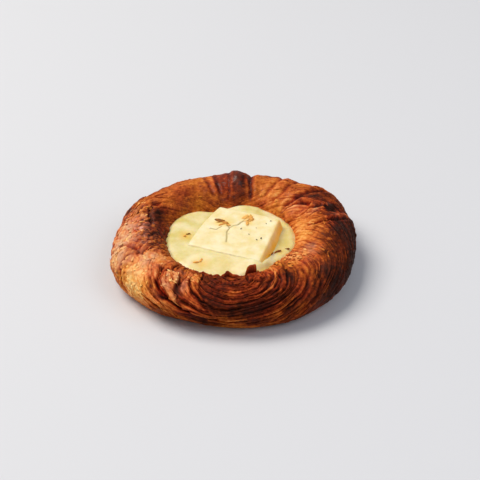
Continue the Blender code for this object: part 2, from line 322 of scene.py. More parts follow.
# Where the egg wash lies thick and shines (above 0) or is missing (below 0), laid out like the browning
GLAZED = (
    (87, -3.5, 1.8, 6, 0.9),
    (243, 8.6, 3, 3, -0.5),
    (179, -0.5, 2.6, 1.3, 3.4),
    (193, -2.5, 4.5, 1.6, 2.6),
    (160, -6, 7, 4, -0.5),
    (183, -4, 12, 5, 0.4),
    (325, 12, 20, 10, -0.35),
    (305, -1, 3, 5, -0.5),
    (25.4, 2.6, 1.0, 0.7, 1.6),
    (13, 8, 4, 3, 0.5),
    (268, 6, 62, 22, -0.30),
)

# Where the baked skin is dull and dusty rather than clear brown, and where painted sheen lies on its glossy
# places, laid out like the browning
DUST_AND_SHEEN = (
    (180, 6, 20, 7, 0.40),
    (181, -2, 14, 4, 0.30),
    (155, -1.6, 7, 1.2, 0.5),
    (196, 10, 7, 8, 0.36),
    (203, 10, 5, 5, 0.28),
    (236, 5, 6, 8, 0.36),
    (244, 6, 3, 6, 0.24),
    (37, -8, 6, 3, 0.2),
    (22, -2.5, 3, 3, 0.2),
    # painted sheen on a glossy streak
    (14, 8, 2, 4, 0.5),
    (338, -3, 6, 2.6, 0.36),
    (326, 6, 7, 3, 0.1),
    (326, -5, 8, 5, 0.14),
    (213, 0, 10, 7, 0.28),
    # a painted glint
    (192.5, -3.2, 2.2, 1.3, 0.7),
    # a painted reflection on the knot's glossy strip
    (87, -2, 2.4, 6, 0.2),
)

# Where the ring stands out further than the solids, laid out like the browning, in millimetres
BULGES = (
    (18, 8, 14, 9, 0.6),
    (10, 13, 9, 7, 1.6),
    (146, 5, 9, 8, -0.8),
    (184, 9, 8, 9, -1.9),
    (60, 6, 12, 6, 0.6),
    (86.5, 1, 6.5, 7, 1.3),
    (225, 20, 16, 8, -1.0),
    (300, 22, 16, 8, 0.3),
)
# At the front left the foot of the ring curls in under it
FOOT_TUCK = 2.6 * MM
FOOT_TUCK_PLACE = (243.0, 24.0)  # azimuth and reach in degrees
FOOT_TUCK_SPAN = (15 * MM, 27 * MM)  # lengths down at which it starts and is full
BACK_SLANT = 400.0  # degrees of azimuth that the folds at the back right lean over, for each metre down

# Kinds of skin round the ring: azimuth and reach in degrees
TORN_RIM = (271, 21)
SMOOTH_SKIN = (214, 12)
LEFT_SIDE = (180, 26)
BACK_WALL = (108, 33)
BACK_FOLDS = (60, 18)
SHADED_SIDE = (338, 22)
EVENED_LAYERS = (315, 14)
KNOT = (86, 7)

# The dough's own unevenness, from large to finest, and its wrinkles: size and seed
UNEVENNESS = ((22 * MM, 1), (9 * MM, 2), (3.6 * MM, 3), (1.9 * MM, 4), (1.1 * MM, 5))
WRINKLES = ((3.0 * MM, 7), (2.6 * MM, 10), (5.5 * MM, 6))

# Laps of dough that lie on the skin: outline as (azimuth, length down in mm), height and width of its edge
# in mm, how much darker and how much more golden
WIDE_LAP_EDGE = 1.5  # millimetres: a lap with a narrower edge is a loose leaf
LAPS = {
    "leaf": (
        ((44, -13), (43, -10.5), (41, -8.6), (37.5, -7), (33, -6), (29.5, -6), (27, -8), (27.5, -12),
         (33, -17)),
        1.5, 3.4, 0.0, -0.2,
    ),
    "tongue_1": (
        ((229, 0.4), (229.6, 2.2), (231.6, 4.9), (236.2, 8.5), (239.4, 11), (242.2, 12.6), (246.4, 14.9),
         (244.8, 12.6), (243.1, 10.6), (241, 8), (240.2, 5.2), (240.4, 3.2), (238, -0.6), (233, -1.4)),
        0.8, 0.6, -0.2, 0.0,
    ),
    "tongue_2": (
        ((241.4, -4), (242, 1), (242.6, 4.4), (244.6, 7.6), (246.6, 9.7), (250.6, 11.8), (259, 14.6),
         (255, 10.6), (249.4, 7), (246, 2.5), (244.4, -4)),
        0.5, 0.9, -0.18, -0.1,
    ),
    "pale_flake_left": (
        ((230.2, 0.2), (232, 2.2), (233.8, 3.7), (235.8, 5.2), (237.5, 4.4), (236.1, 3), (234.7, 1.7),
         (233, 0.4), (231.4, -0.6)),
        0.5, 0.3, -0.42, 0.3,
    ),
    "pale_flake_right": (
        ((231.2, -0.6), (233.2, 0.3), (235.2, 0.7), (236.5, 2.2), (238.4, 4.4), (240.3, 4), (239.4, 2),
         (237.9, -0.1), (235.8, -1), (232.2, -1.4)),
        0.6, 0.3, -0.42, 0.2,
    ),
    "tongue_3": (
        ((245.5, -3.5), (245.5, 1), (248, 5), (256, 9.5), (253, 4.5), (251, 0), (251, -3.5)),
        0.6, 0.8, -0.12, 0.1,
    ),
    "under_flap": (((280, -8), (281, -2), (287, -0.6), (292, -2.6), (291, -8)), 0.8, 1.2, -0.02, -0.4),
    "loop": (
        ((301.6, -8), (300.4, -3), (297.4, 1.2), (292.5, 5), (283, 8), (283.2, 7.2), (291.2, 4.2),
         (295.8, 0.6), (298.8, -3.2), (299.8, -8)),
        0.5, 0.45, -0.21, 0.1,
    ),
}

# ---------------------------------------------------------------- how places are measured and varied

TINY = 1e-12  # keeps a division by a length from failing
FAR = 1e3  # further than anything on the pastry, in millimetres
SEED_SHIFT = np.array((13.7, 7.3, 3.1))  # how far apart two seeds look into the noise


def smooth_step(value, low, high):
    """0 below low, 1 above high and an S curve between."""
    share = np.clip((value - low) / (high - low), 0.0, 1.0)
    return share * share * (3.0 - 2.0 * share)


def angle_between(azimuth, other):
    """Degrees from other round to azimuth, between -180 and 180."""
    return (azimuth - other + 180.0) % 360.0 - 180.0


def near(azimuth, place, reach, power=2):
    """1 at a place round the ring, falling to 0 past its reach; a higher power gives it a flatter top."""
    return np.exp(-(np.abs(angle_between(azimuth, place) / reach) ** power))


def spots(table, azimuth, down):
    """Sum of a table's spots: azimuth, length down (mm), reach in degrees, reach in mm and strength."""
    total = np.zeros(np.shape(azimuth))
    for place, place_down, reach, reach_down, strength in table:
        off = (angle_between(azimuth, place) / reach) ** 2 + ((down / MM - place_down) / reach_down) ** 2
        total += strength * np.exp(-off)
    return total


def held_back(value, limit, share):
    """The value, with only a share left of how far it lies below the limit."""
    return np.maximum(value, limit + share * (value - limit))


def rough(points, size, seed):
    """Smooth random values from about -1 to 1 at the points, with hills about half of size across."""
    places = points / size + SEED_SHIFT * seed
    return np.array([noise.noise(place) for place in places.tolist()]) * 1.5


def strands(azimuth, down, size, length, seed):
    """Random values that change within size round the ring and only within length over it."""
    turn = np.radians(azimuth)
    round_ring = RING_RADIUS / size
    drawn_out = np.stack([round_ring * np.cos(turn), round_ring * np.sin(turn), down / length], axis=-1)
    return rough(drawn_out, 1.0, seed)


def creased(points, size, seed):
    """Random values from 0 to 1 that fall to sharp creases, with cells about size across."""
    return np.abs(rough(points, size, seed))


# ---------------------------------------------------------------- the ring of dough


def wall_shift(azimuth):
    """How far out the well's wall stands from its circle."""
    turn = np.radians(azimuth)
    outward = WELL_MIDDLE[0] * np.cos(turn) + WELL_MIDDLE[1] * np.sin(turn)
    for place, reach, inward in WALL_BULGES:
        outward = outward - inward * near(azimuth, place, reach)
    return outward


def ring_point(azimuth, radius, z):
    """Points of the swollen ring, before its folds, from the plain ring's azimuth, radius and z."""
    outward = np.zeros_like(radius)
    upward = np.zeros_like(radius)
    for place, reach, out, up in SWELLS:
        share = near(azimuth, place, reach)
        outward += out * share
        upward += up * share
    on_ring = smooth_step(radius, WELL_WIDTH / 2, RING_RADIUS)
    in_well = smooth_step(radius, 0.3 * WELL_WIDTH, WELL_WIDTH / 2 - 0.5 * MM) * (1.0 - on_ring)
    above_foot = smooth_step(z, 0.15 * RING_HEIGHT, RING_HEIGHT)
    moved_radius = radius + outward * on_ring + wall_shift(azimuth) * in_well * (z > 0)
    moved_z = z + upward * above_foot * on_ring
    turn = np.radians(azimuth)
    x = RING_MIDDLE[0] + moved_radius * np.cos(turn)
    y = RING_MIDDLE[1] + moved_radius * np.sin(turn)
    return np.stack([x, y, moved_z], axis=-1)


def roll_place(down):
    """Radius and z on the plain turned ring, at a length down from its crest (negative towards the well)."""
    turn = math.pi / 2 - down / ROLL_GIRTH
    height = np.where(turn > 0, np.where(turn > math.pi, ROLL_DROP, ROLL_RISE), ROLL_DROP)
    return RING_RADIUS + ROLL_HALF_WIDTH * np.cos(turn), np.maximum(ROLL_MIDDLE + height * np.sin(turn), 0.0)


def roll_point(azimuth, down):
    """Points of the swollen ring on the round part of the roll."""
    radius, z = roll_place(down)
    return ring_point(azimuth, radius, z)


def roll_normal(azimuth, down):
    """Outward directions of the swollen ring on the round part of the roll."""
    step = 0.4
    along = roll_point(azimuth + step, down) - roll_point(azimuth - step, down)
    across = roll_point(azimuth, down + step * MM) - roll_point(azimuth, down - step * MM)
    normal = np.cross(across, along)
    return normal / np.maximum(np.linalg.norm(normal, axis=-1, keepdims=True), TINY)


LAYER_COUNT = 400


def layer_edges(seed, low, high):
    """Places of the edges between layers whose thickness lies between low and high."""
    return np.cumsum(np.random.default_rng(seed).uniform(low, high, LAYER_COUNT))


# Layers of the dough: edges between them, seed of each layer's own random number, half-width of the grooves
MAIN_LAYERS = (layer_edges(5, 1.5 * MM, 4.0 * MM), 21, 0.34 * MM)
CROSS_LAYERS = (layer_edges(14, 1.6 * MM, 3.6 * MM), 23, 0.30 * MM)
FINE_LAYERS = (layer_edges(8, 0.8 * MM, 1.6 * MM), 22, 0.24 * MM)


def across_layers(distance, edges, seed, gap):
    """At each place: how far into its layer (0 to 1), the layer's own number, and the groove at its edge."""
    layer = np.clip(np.searchsorted(edges, distance) - 1, 0, len(edges) - 2)
    start, end = edges[layer], edges[layer + 1]
    share = np.clip((distance - start) / (end - start), 0.0, 1.0)
    own = np.random.default_rng(seed).uniform(-1.0, 1.0, len(edges))
    to_edge = np.minimum(distance - start, end - distance)
    nearest = np.where(distance - start < end - distance, layer, layer + 1)
    depth = 0.55 + 0.45 * own[nearest]
    return share, own[layer], depth * np.exp(-((to_edge / gap) ** 2))


def coil_place(azimuth, down):
    """Distance from the middle of the roll's cut end, and the length round that middle, in metres.

    The layers are U-shaped: they run straight over the rim on both sides of the middle."""
    along = np.radians(angle_between(azimuth, COIL_AZIMUTH)) * RING_RADIUS / COIL_STRETCH
    along = along / (1.0 + COIL_FAN * (7.5 * MM - np.minimum(down, 20 * MM)))
    below = COIL_SQUAT * np.maximum(down + COIL_INSET, 0.0)
    distance = (np.abs(along) ** COIL_SQUARE + below**COIL_SQUARE) ** (1.0 / COIL_SQUARE)
    return distance, np.arctan2(down + COIL_INSET, along) * ROLL_HALF_WIDTH * 1.6


def leaf_distance(azimuth, down):
    """The same distance with the layers' waviness: it stays the same along a leaf of dough."""
    points = roll_point(azimuth, down)
    large, middle, small = (rough(points, size, seed) for size, seed in UNEVENNESS[:3])
    return coil_place(azimuth, down)[0] + (1.8 * large + 0.55 * middle + 0.12 * small) * MM


def crease_distance(azimuth, down, path):
    """Distance (mm) from each place to a crease's path, positive on its left, and how open it is there."""
    nearest = np.full(azimuth.shape, FAR)
    side = np.ones_like(nearest)
    reached = np.zeros_like(nearest)
    first = path[0][0]
    u, v = angle_between(azimuth, first) * MM_PER_DEGREE, down / MM
    places = [(angle_between(a, first) * MM_PER_DEGREE, d) for a, d in path]
    so_far = 0.0
    for (u0, v0), (u1, v1) in zip(places, places[1:]):
        du, dv = u1 - u0, v1 - v0
        length = math.hypot(du, dv)
        share = np.clip(((u - u0) * du + (v - v0) * dv) / length**2, 0.0, 1.0)
        gap = np.hypot(u - u0 - share * du, v - v0 - share * dv)
        closer = gap < nearest
        side = np.where(closer, np.sign((u - u0) * dv - (v - v0) * du), side)
        reached = np.where(closer, so_far + share * length, reached)
        nearest = np.minimum(nearest, gap)
        so_far += length
    opened = smooth_step(reached, 0.0, 0.2 * so_far) * (1.0 - smooth_step(reached, 0.8 * so_far, so_far))
    return nearest * side, opened


def outline_distance(azimuth, down, outline):
    """Distance from each place to an outline on the skin in millimetres, positive inside it."""
    first = outline[0][0]
    u, v = angle_between(azimuth, first) * MM_PER_DEGREE, down / MM
    corners = [(angle_between(a, first) * MM_PER_DEGREE, d) for a, d in outline]
    nearest = np.full(azimuth.shape, FAR)
    inside = np.zeros(azimuth.shape, bool)
    for (u0, v0), (u1, v1) in zip(corners, corners[1:] + corners[:1]):
        du, dv = u1 - u0, v1 - v0
        share = np.clip(((u - u0) * du + (v - v0) * dv) / (du * du + dv * dv), 0.0, 1.0)
        nearest = np.minimum(nearest, np.hypot(u - u0 - share * du, v - v0 - share * dv))
        if dv:
            inside ^= ((v0 > v) != (v1 > v)) & (u < u0 + (v - v0) / dv * du)
    return np.where(inside, nearest, -nearest)


def crust_relief(azimuth, down, points):
    """Height of the folds, layers and wrinkles over the swollen ring, and the values its finish reads."""
    large, middle, small, fine, finest = (rough(points, size, seed) for size, seed in UNEVENNESS)

    from_coil, round_coil = coil_place(azimuth, down)
    warped = leaf_distance(azimuth, down) + 0.06 * MM * fine
    crossing = from_coil + (2.4 * rough(points, 20 * MM, 12) + 0.35 * middle + 0.10 * small) * MM
    share, tone, groove_and_shade = across_layers(warped, *MAIN_LAYERS)
    cross_share, cross_tone, cross_groove = across_layers(crossing, *CROSS_LAYERS)
    fine_share, fine_tone, fine_groove = across_layers(warped + 0.15 * MM * fine, *FINE_LAYERS)

    # how much of each kind of skin there is at each place, from 0 to 1
    start, end = COIL_SPAN
    on_end = smooth_step(azimuth, start, start + 6) * (1.0 - smooth_step(azimuth, end - 8, end + 8))
    on_end *= smooth_step(down, -14 * MM, -9 * MM)
    torn = near(azimuth, *TORN_RIM, 4) * (1.0 - smooth_step(down, -2 * MM, 3 * MM))
    smooth_skin = near(azimuth, *SMOOTH_SKIN, 4) * np.exp(-((np.abs(down / MM - 8) / 17) ** 4))
    left = near(azimuth, *LEFT_SIDE, 4) * (1.0 - smooth_skin)
    back_wall = near(azimuth, *BACK_WALL, 4)
    back_folds = near(azimuth, *BACK_FOLDS, 4)
    shaded_side = near(azimuth, *SHADED_SIDE) * np.exp(-(((down / MM - 12) / 10) ** 2))
    evened = 1.0 - 0.6 * near(azimuth, *EVENED_LAYERS)
    layered = (on_end - 0.85 * torn) * evened
    side = (1.0 - on_end) * (1.0 - smooth_skin) * (1.0 - 0.6 * left)
    side *= (1.0 - 0.75 * back_wall) * (1.0 - 0.5 * back_folds) * (1.0 - 0.45 * shaded_side)

    # the layers: rounded leaves with grooves between, heights in millimetres
    fade = np.clip(0.8 + 1.2 * rough(points, 14 * MM, 13) + 0.3 * small, 0.1, 1.6)
    cross_fade = np.clip(0.5 - 1.3 * middle, 0.0, 1.4)
    proud = tone * np.clip(0.5 + 0.9 * rough(points, 16 * MM, 20), -0.3, 1.2)
    layer_round = 1.0 - np.abs(2.0 * share - 1.0) ** 3
    cross_round = 1.0 - np.abs(2.0 * cross_share - 1.0) ** 3
    fine_round = 1.0 - (2.0 * fine_share - 1.0) ** 2
    height = layered * (0.42 * layer_round + 0.45 * proud - 0.9 * fade * groove_and_shade - 0.35)
    height += layered * cross_fade * (0.22 * cross_round + 0.25 * cross_tone - 0.5 * cross_groove - 0.1)
    height += layered * (0.10 * fine_round - 0.16 * fade * fine_groove)
    height += side * fade * (0.16 * layer_round - 0.28 * groove_and_shade - 0.1)
    height += side * cross_fade * (0.12 * cross_round - 0.30 * cross_groove)
    height += side * (0.16 * fine_round - 0.32 * fine_groove)

    # wrinkles and folds of the skin, and the dough's own unevenness
    height += torn * (0.9 * creased(points, 4.5 * MM, 8) - 0.6 * creased(points, 2.2 * MM, 9))
    wrinkle, skin_wrinkle, crumple = (creased(points, *kind) for kind in WRINKLES)
    height += left * (0.7 * crumple + 0.55 * wrinkle - 0.55)
    height += left * 0.6 * np.abs(strands(azimuth, down, 3.0 * MM, 9 * MM, 16))
    left_crest = left * np.exp(-(((down / MM + 3) / 5) ** 2))
    height += left_crest * (0.6 * np.abs(strands(azimuth, down, 2.0 * MM, 8 * MM, 24)) - 0.35 * crumple)
    height += smooth_skin * (0.30 * middle + 0.50 * skin_wrinkle + 0.25 * small - 0.1)
    height += smooth_skin * 0.30 * np.abs(strands(azimuth, down, 3.4 * MM, 10 * MM, 19))
    height += back_wall * 0.14 * strands(azimuth, down, 4.0 * MM, 14 * MM, 11)
    height += back_folds * 0.45 * strands(azimuth + down * BACK_SLANT, down, 9 * MM, 18 * MM, 18)
    height += side * 0.16 * strands(azimuth, down, 2.6 * MM, 16 * MM, 17)
    height += 0.20 * middle + 0.20 * small + 0.13 * fine + 0.10 * finest - 0.40
    height += spots(BULGES, azimuth, down)

    browning = BROWNING + spots(BROWNING_AND_PAINTED_LIGHT, azimuth, down)
    browning += 0.07 * large + 0.09 * middle + 0.07 * small + 0.05 * fine
    golden = GOLDEN + 0.30 * rough(points, 12 * MM, 14) + 0.25 * rough(points, 4 * MM, 15)
    golden += spots(WARMTH, azimuth, down)

    # laps with a narrow edge are loose leaves: calm on top, with painted shade in the gap beside them
    crease_shade = np.zeros_like(height)
    calm = np.zeros_like(height)
    for outline, high, edge, darker, warmer in LAPS.values():
        gap = outline_distance(azimuth, down, outline) + 0.3 * small + 0.15 * fine
        loose = edge < WIDE_LAP_EDGE
        cover = smooth_step(gap, 0.0, edge)
        beside = np.exp(-(((gap + 0.35) / 0.4) ** 2)) * loose
        height = height * (1.0 - 0.6 * cover) + high * (cover - 0.4 * beside)
        height += 0.16 * cover * loose * (fine + finest)
        browning += darker * cover
        golden += warmer * cover
        calm = np.maximum(calm, cover * loose)
        crease_shade = np.maximum(crease_shade, 0.8 * beside)
    for path, half_width, depth, lift in CREASES.values():
        gap, opened = crease_distance(azimuth, down, path)
        gap = gap + 0.35 * small + 0.12 * fine
        cut = opened * np.exp(-((gap / half_width) ** 2))
        height -= depth * cut
        height += opened * lift * np.exp(-np.abs(gap) / 3.5) * np.tanh(gap / 0.4)
        height += opened * 0.3 * depth * np.exp(-(((np.abs(gap) - 2.2 * half_width) / half_width) ** 2))
        crease_shade = np.maximum(crease_shade, cut * min(1.0, depth / 1.2))

    # each layer has a brown of its own, and painted shade darkens the grooves, the wrinkle lines and the
    # creases
    browning += on_end * evened * (0.10 * tone + 0.07 * cross_fade * cross_tone + 0.04 * fine_tone)
    browning += side * (0.05 * tone + 0.05 * fine_tone)
    shade = 0.8 * fade * groove_and_shade + 0.5 * cross_fade * cross_groove + 0.3 * fade * fine_groove
    shade *= on_end * evened
    shade += left * 0.75 * np.exp(-((wrinkle / 0.13) ** 2))
    shade += smooth_skin * 0.45 * np.exp(-((skin_wrinkle / 0.10) ** 2))
    shade += side * (0.5 * fade * groove_and_shade + 0.5 * cross_fade * cross_groove + 0.35 * fade * fine_groove)
    shade = np.clip(np.maximum(shade * (1.0 - 0.7 * calm), crease_shade), 0.0, 1.0)
    browning = held_back(browning, *PALE_LIMIT) + 0.06 * on_end
    browning = np.where(on_end > 0.5, held_back(browning, *PALE_LIMIT_END), browning)

    # shine of the egg wash, and a pale haze where the skin is pale and lies free: partly dull dust, partly
    # painted sheen
    strand = np.clip((0.35 + 0.65 * side + 0.05 * on_end) * (1.0 - 0.5 * back_wall), 0.0, 1.0)
    strand *= 1.0 - 0.6 * shaded_side
    gloss = 0.2 + 0.2 * near(azimuth, *KNOT) + 0.25 * left + 0.2 * middle + spots(GLAZED, azimuth, down)
    dust_and_sheen = spots(DUST_AND_SHEEN, azimuth, down)
    dust_and_sheen *= np.clip(1.25 - 1.3 * browning, 0.15, 1.0) * (1.0 - shade) * (1.0 + 1.2 * small + 0.8 * fine)
    finish = {
        "browning": browning,
        "golden": np.clip(golden, 0.0, 1.0),
        "groove_and_shade": shade,
        "glaze": np.clip(gloss, 0.0, 3.0),
        "dust_and_sheen": np.clip(dust_and_sheen, 0.0, 0.6),
        "strand": strand,
        "across": warped / MM,
        "along": round_coil / MM,
    }
    return height * MM, finish


def skin_fade(down):
    """1 where the dough is bare, fading to 0 under the cream and at the flat foot."""
    turn = math.pi / 2 - down / ROLL_GIRTH
    cream_line = math.pi - math.asin((CREAM_LEVEL - ROLL_MIDDLE) / ROLL_RISE)
    bare = 1.0 - smooth_step(turn, cream_line - 0.05, cream_line + 0.35)
    return bare * smooth_step(turn, FOOT_ANGLE, FOOT_ANGLE + 0.35)


def crust_skin(azimuth, down):
    """Finished points of the crust's skin, with their outward directions and finish values."""
    base = roll_point(azimuth, down)
    normal = roll_normal(azimuth, down)
    height, finish = crust_relief(azimuth, down, base)
    height = height * skin_fade(down)
    finish["height"] = height
    points = base + normal * height[..., None]
    tuck = FOOT_TUCK * near(azimuth, *FOOT_TUCK_PLACE) * smooth_step(down, *FOOT_TUCK_SPAN)
    turn = np.radians(azimuth)
    points[..., 0] -= tuck * np.cos(turn)
    points[..., 1] -= tuck * np.sin(turn)
    points[..., 2] = np.maximum(points[..., 2], 0.0)
    return points, normal, finish


def write_values(mesh, finish):
    """Stores a piece's finish values on its points."""
    for key, values in finish.items():
        mesh.attributes.new(key, "FLOAT", "POINT").data.foreach_set("value", np.asarray(values, np.float32))


def place_object(name, data):
    """An object in the scene from a mesh, lamp or camera."""
    made = bpy.data.objects.new(name, data)
    bpy.context.scene.collection.objects.link(made)
    return made


def piece_from(name, points, faces, finish):
    """A mesh object from points and faces, with its finish values."""
    mesh = bpy.data.meshes.new(name)
    mesh.from_pydata(points.tolist(), [], faces)
    mesh.validate()
    write_values(mesh, finish)
    mesh.shade_smooth()
    return place_object(name, mesh)


def closed_faces(rows, columns):
    """Faces between rows of points that run right round, and fans to the two middle points after them."""
    faces = []
    for row in range(rows - 1):
        low = row * columns
        for column in range(columns):
            after = (column + 1) % columns
            faces.append((low + column, low + columns + column, low + columns + after, low + after))
    last = (rows - 1) * columns
    top, underside = rows * columns, rows * columns + 1
    for column in range(columns):
        after = (column + 1) % columns
        faces.append((top, column, after))
        faces.append((underside, last + after, last + column))
    return faces


CRUST_COLUMNS = 640
SKIN_ROWS = 148
FRONT_BIAS = 0.28  # how much closer together the columns stand at the front than at the sides
SKIN_START = -16.5 * MM  # the skin's first row, under the cream
FOOT = (math.pi / 2 - FOOT_ANGLE) * ROLL_GIRTH  # length down to the foot
HOLLOW_REACH = 3  # rows and columns
HOLLOW_DEPTH = 0.8 * MM


def hollows(height):
    """How deep each place of a grid that runs right round lies: 0 on edges, 1 in hollows."""
    total = np.zeros_like(height)
    reach = HOLLOW_REACH
    wide = np.pad(height, ((reach, reach), (0, 0)), mode="edge")
    rows = height.shape[0]
    for row in range(2 * reach + 1):
        for shift in range(-reach, reach + 1):
            total += np.roll(wide[row : row + rows], shift, axis=1)
    below = total / (2 * reach + 1) ** 2 - height
    return np.clip(0.5 + below / HOLLOW_DEPTH, 0.0, 1.0)


def make_crust():
    """The crust as one closed body: well floor and wall, then the skin, then the flat underside."""
    step = np.arange(CRUST_COLUMNS) / CRUST_COLUMNS * 2 * math.pi
    azimuths = (270.0 + np.degrees(step - FRONT_BIAS * np.sin(step))) % 360.0
    downs = np.linspace(SKIN_START, FOOT, SKIN_ROWS)
    azimuth, down = np.meshgrid(azimuths, downs)
    points, _, finish = crust_skin(azimuth.ravel(), down.ravel())
    # painted shade in the hollows: how far each place lies below its neighbours
    finish["hollow_shade"] = hollows(finish.pop("height").reshape(SKIN_ROWS, CRUST_COLUMNS)).ravel()

    # rows of radius and z: the well's floor with its rounded corner, and the flat underside
    corner = 2.0 * MM
    wall = WELL_WIDTH / 2
    hidden = [(0.5 * wall, BASE_THICKNESS), (wall - corner, BASE_THICKNESS), (wall, BASE_THICKNESS + corner)]
    foot_radius = roll_place(np.array([FOOT]))[0][0]
    under = [(0.8 * foot_radius, 0.0), (0.4 * foot_radius, 0.0)]
    inner, outer = (
        [ring_point(azimuths, np.full(CRUST_COLUMNS, r), np.full(CRUST_COLUMNS, z)) for r, z in rows]
        for rows in (hidden, under)
    )
    centre = np.array([[*RING_MIDDLE, BASE_THICKNESS], [*RING_MIDDLE, 0.0]])
    all_points = np.concatenate([*inner, points, *outer, centre])
    faces = closed_faces(len(hidden) + SKIN_ROWS + len(under), CRUST_COLUMNS)
    before = len(hidden) * CRUST_COLUMNS
    behind = len(under) * CRUST_COLUMNS + 2
    filled = {}
    for key, values in finish.items():
        filled[key] = np.concatenate([np.full(before, 0.5), values, np.full(behind, 0.6)])
    crust = piece_from("flaky_crust", all_points, faces, filled)
    crust.data.materials.append(baked_crust())
    return crust


# ---------------------------------------------------------------- leaf edges, flakes and flaps of the crust

# Leaf edges that stand out of the skin: how many, azimuths, lengths down, lengths and heights (mm), and how
# much paler they are than the skin
LEAF_EDGES = (
    (55, (228, 262), (-7, 26), (8, 24), (0.25, 0.7), 0.0),
    (44, (276, 312), (-7, 26), (8, 24), (0.25, 0.7), 0.0),
    (40, (240, 305), (4, 27), (10, 26), (0.25, 0.7), 0.0),
    (120, (-38, 28), (-8, 18), (5, 13), (0.10, 0.24), 0.08),
    (12, (28, 76), (-8, 18), (4, 10), (0.12, 0.25), 0.08),
    (24, (150, 204), (-6, 18), (3, 8), (0.15, 0.35), 0.10),
    (40, (60, 200), (10, 26), (5, 14), (0.2, 0.4), 0.08),
)
EDGE_STEPS = 30
EDGE_THICKNESS = 0.26 * MM
EDGE_ROOT = 0.3 * MM  # how deep a leaf edge reaches into the skin
EDGE_SPAN = (-10.5 * MM, 28.5 * MM)  # lengths down, from the cream to the foot

# Flakes that lie on the skin: how many, azimuths, lengths down, lengths and breadths (mm), how far one end
# is up (mm), and how much paler they are than the skin under them
FLAKES = (
    (80, (166, 197), (-7, 14), (1.0, 2.6), (0.7, 1.8), 0.3, 0.14),
    (34, (190, 206), (6, 20), (1.0, 2.8), (0.7, 1.8), 0.25, 0.14),
    (60, (203, 226), (-6, 22), (1.0, 2.6), (0.7, 1.7), 0.3, 0.08),
    (5, (230.5, 234.5), (-0.5, 4.0), (1.4, 2.6), (0.6, 1.1), 0.35, 0.30),
    (6, (235.5, 239.5), (-1.0, 4.5), (1.4, 2.8), (0.6, 1.1), 0.45, 0.34),
    (16, (235, 239.5), (4.6, 8), (1.0, 2.4), (0.6, 1.2), 0.2, 0.08),
    (12, (240.5, 243), (10, 12), (1.0, 2.4), (0.6, 1.2), 0.2, 0.06),
    (22, (244.5, 250.5), (-3.0, 4.0), (1.0, 2.4), (0.5, 1.1), 0.3, 0.16),
    (36, (240, 279), (-8, 0), (1.6, 3.6), (0.9, 2.0), 0.5, 0.02),
    (60, (306, 330), (-11, -3), (1.2, 3.0), (0.8, 1.8), 0.65, 0.11),
    (20, (312, 334), (-10, -2), (1.1, 2.4), (0.7, 1.4), 0.4, -0.18),
    (70, (-35, 25), (-8, 16), (1.4, 3.6), (0.5, 1.1), 0.2, 0.10),
    (16, (46, 74), (-10, 8), (1.2, 3.0), (0.7, 1.6), 0.1, -0.02),
    (40, (112, 165), (-8, 18), (1.0, 2.4), (0.6, 1.6), 0.15, 0.05),
    (26, (225, 320), (6, 26), (1.4, 3.4), (0.7, 1.4), 0.12, 0.0),
    (36, (146, 170), (-2, 9), (1.0, 2.8), (0.6, 1.6), 0.3, 0.12),
)
FLAKE_RINGS = 3
FLAKE_SIDES = 14
FLAKE_THICKNESS = 0.09 * MM  # half of it

# Flaps of torn dough that stand along the front rim: azimuths, length down and heights at even steps (mm)
RIM_FLAPS = (
    (238, 246, -5.8, (0.0, 0.5, 0.3, 0.6, 0.1)),
    (247, 257, -6.2, (0.1, 0.9, 0.6, 0.3, 0.5, 0.1)),
    (257, 263, -5.6, (0.1, 0.3, 0.2, 0.1)),
    (262.5, 277, -6.7, (0.2, 1.0, 2.2, 2.1, 1.8, 1.4, 1.0, 0.5, 0.1)),
    (279.5, 289, -6.7, (0.3, 1.6, 2.4, 2.6, 2.75, 2.9, 3.1, 2.9)),
    (289, 295, -6.0, (0.5, 0.3, 0.6, 0.2)),
)
FLAP_STEPS = 40
FLAP_THICKNESS = 0.7 * MM
FLAP_ROOT = 1.6 * MM
FLAP_PALER = 0.06


def leaf_heading(azimuth, down):
    """Direction along the leaves at each place, as (length round the ring, length down) of size one."""
    step = 0.5 * MM
    turn = math.degrees(step / RING_RADIUS)
    round_slope = leaf_distance(azimuth + turn, down) - leaf_distance(azimuth - turn, down)
    down_slope = leaf_distance(azimuth, down + step) - leaf_distance(azimuth, down - step)
    size = np.maximum(np.hypot(round_slope, down_slope), TINY)
    return -down_slope / size, round_slope / size


def strip_body(paths, normals, heights, leans, thickness, depth):
    """Points and faces of thin strips that stand on the skin along their paths (strip, step, xyz)."""
    ahead = np.gradient(paths, axis=1)
    ahead /= np.maximum(np.linalg.norm(ahead, axis=-1, keepdims=True), TINY)
    aside = np.cross(normals, ahead)
    rise = normals * heights[..., None] + aside * (heights * leans)[..., None]
    half = aside * (0.5 * thickness)
    low = paths - normals * depth
    corners = np.stack([low - half, paths + rise - 0.6 * half, paths + rise + 0.6 * half, low + half], axis=2)
    strips, steps = paths.shape[:2]
    points = corners.reshape(-1, 3)
    points[:, 2] = np.maximum(points[:, 2], 0.0)
    faces = []
    for strip in range(strips):
        for step in range(steps):
            here = (strip * steps + step) * 4
            if step + 1 < steps:
                for corner in range(4):
                    after = (corner + 1) % 4
                    faces.append((here + corner, here + 4 + corner, here + 4 + after, here + after))
            if step == 0:
                faces.append((here, here + 1, here + 2, here + 3))
            if step == steps - 1:
                faces.append((here + 3, here + 2, here + 1, here))
    return points, faces


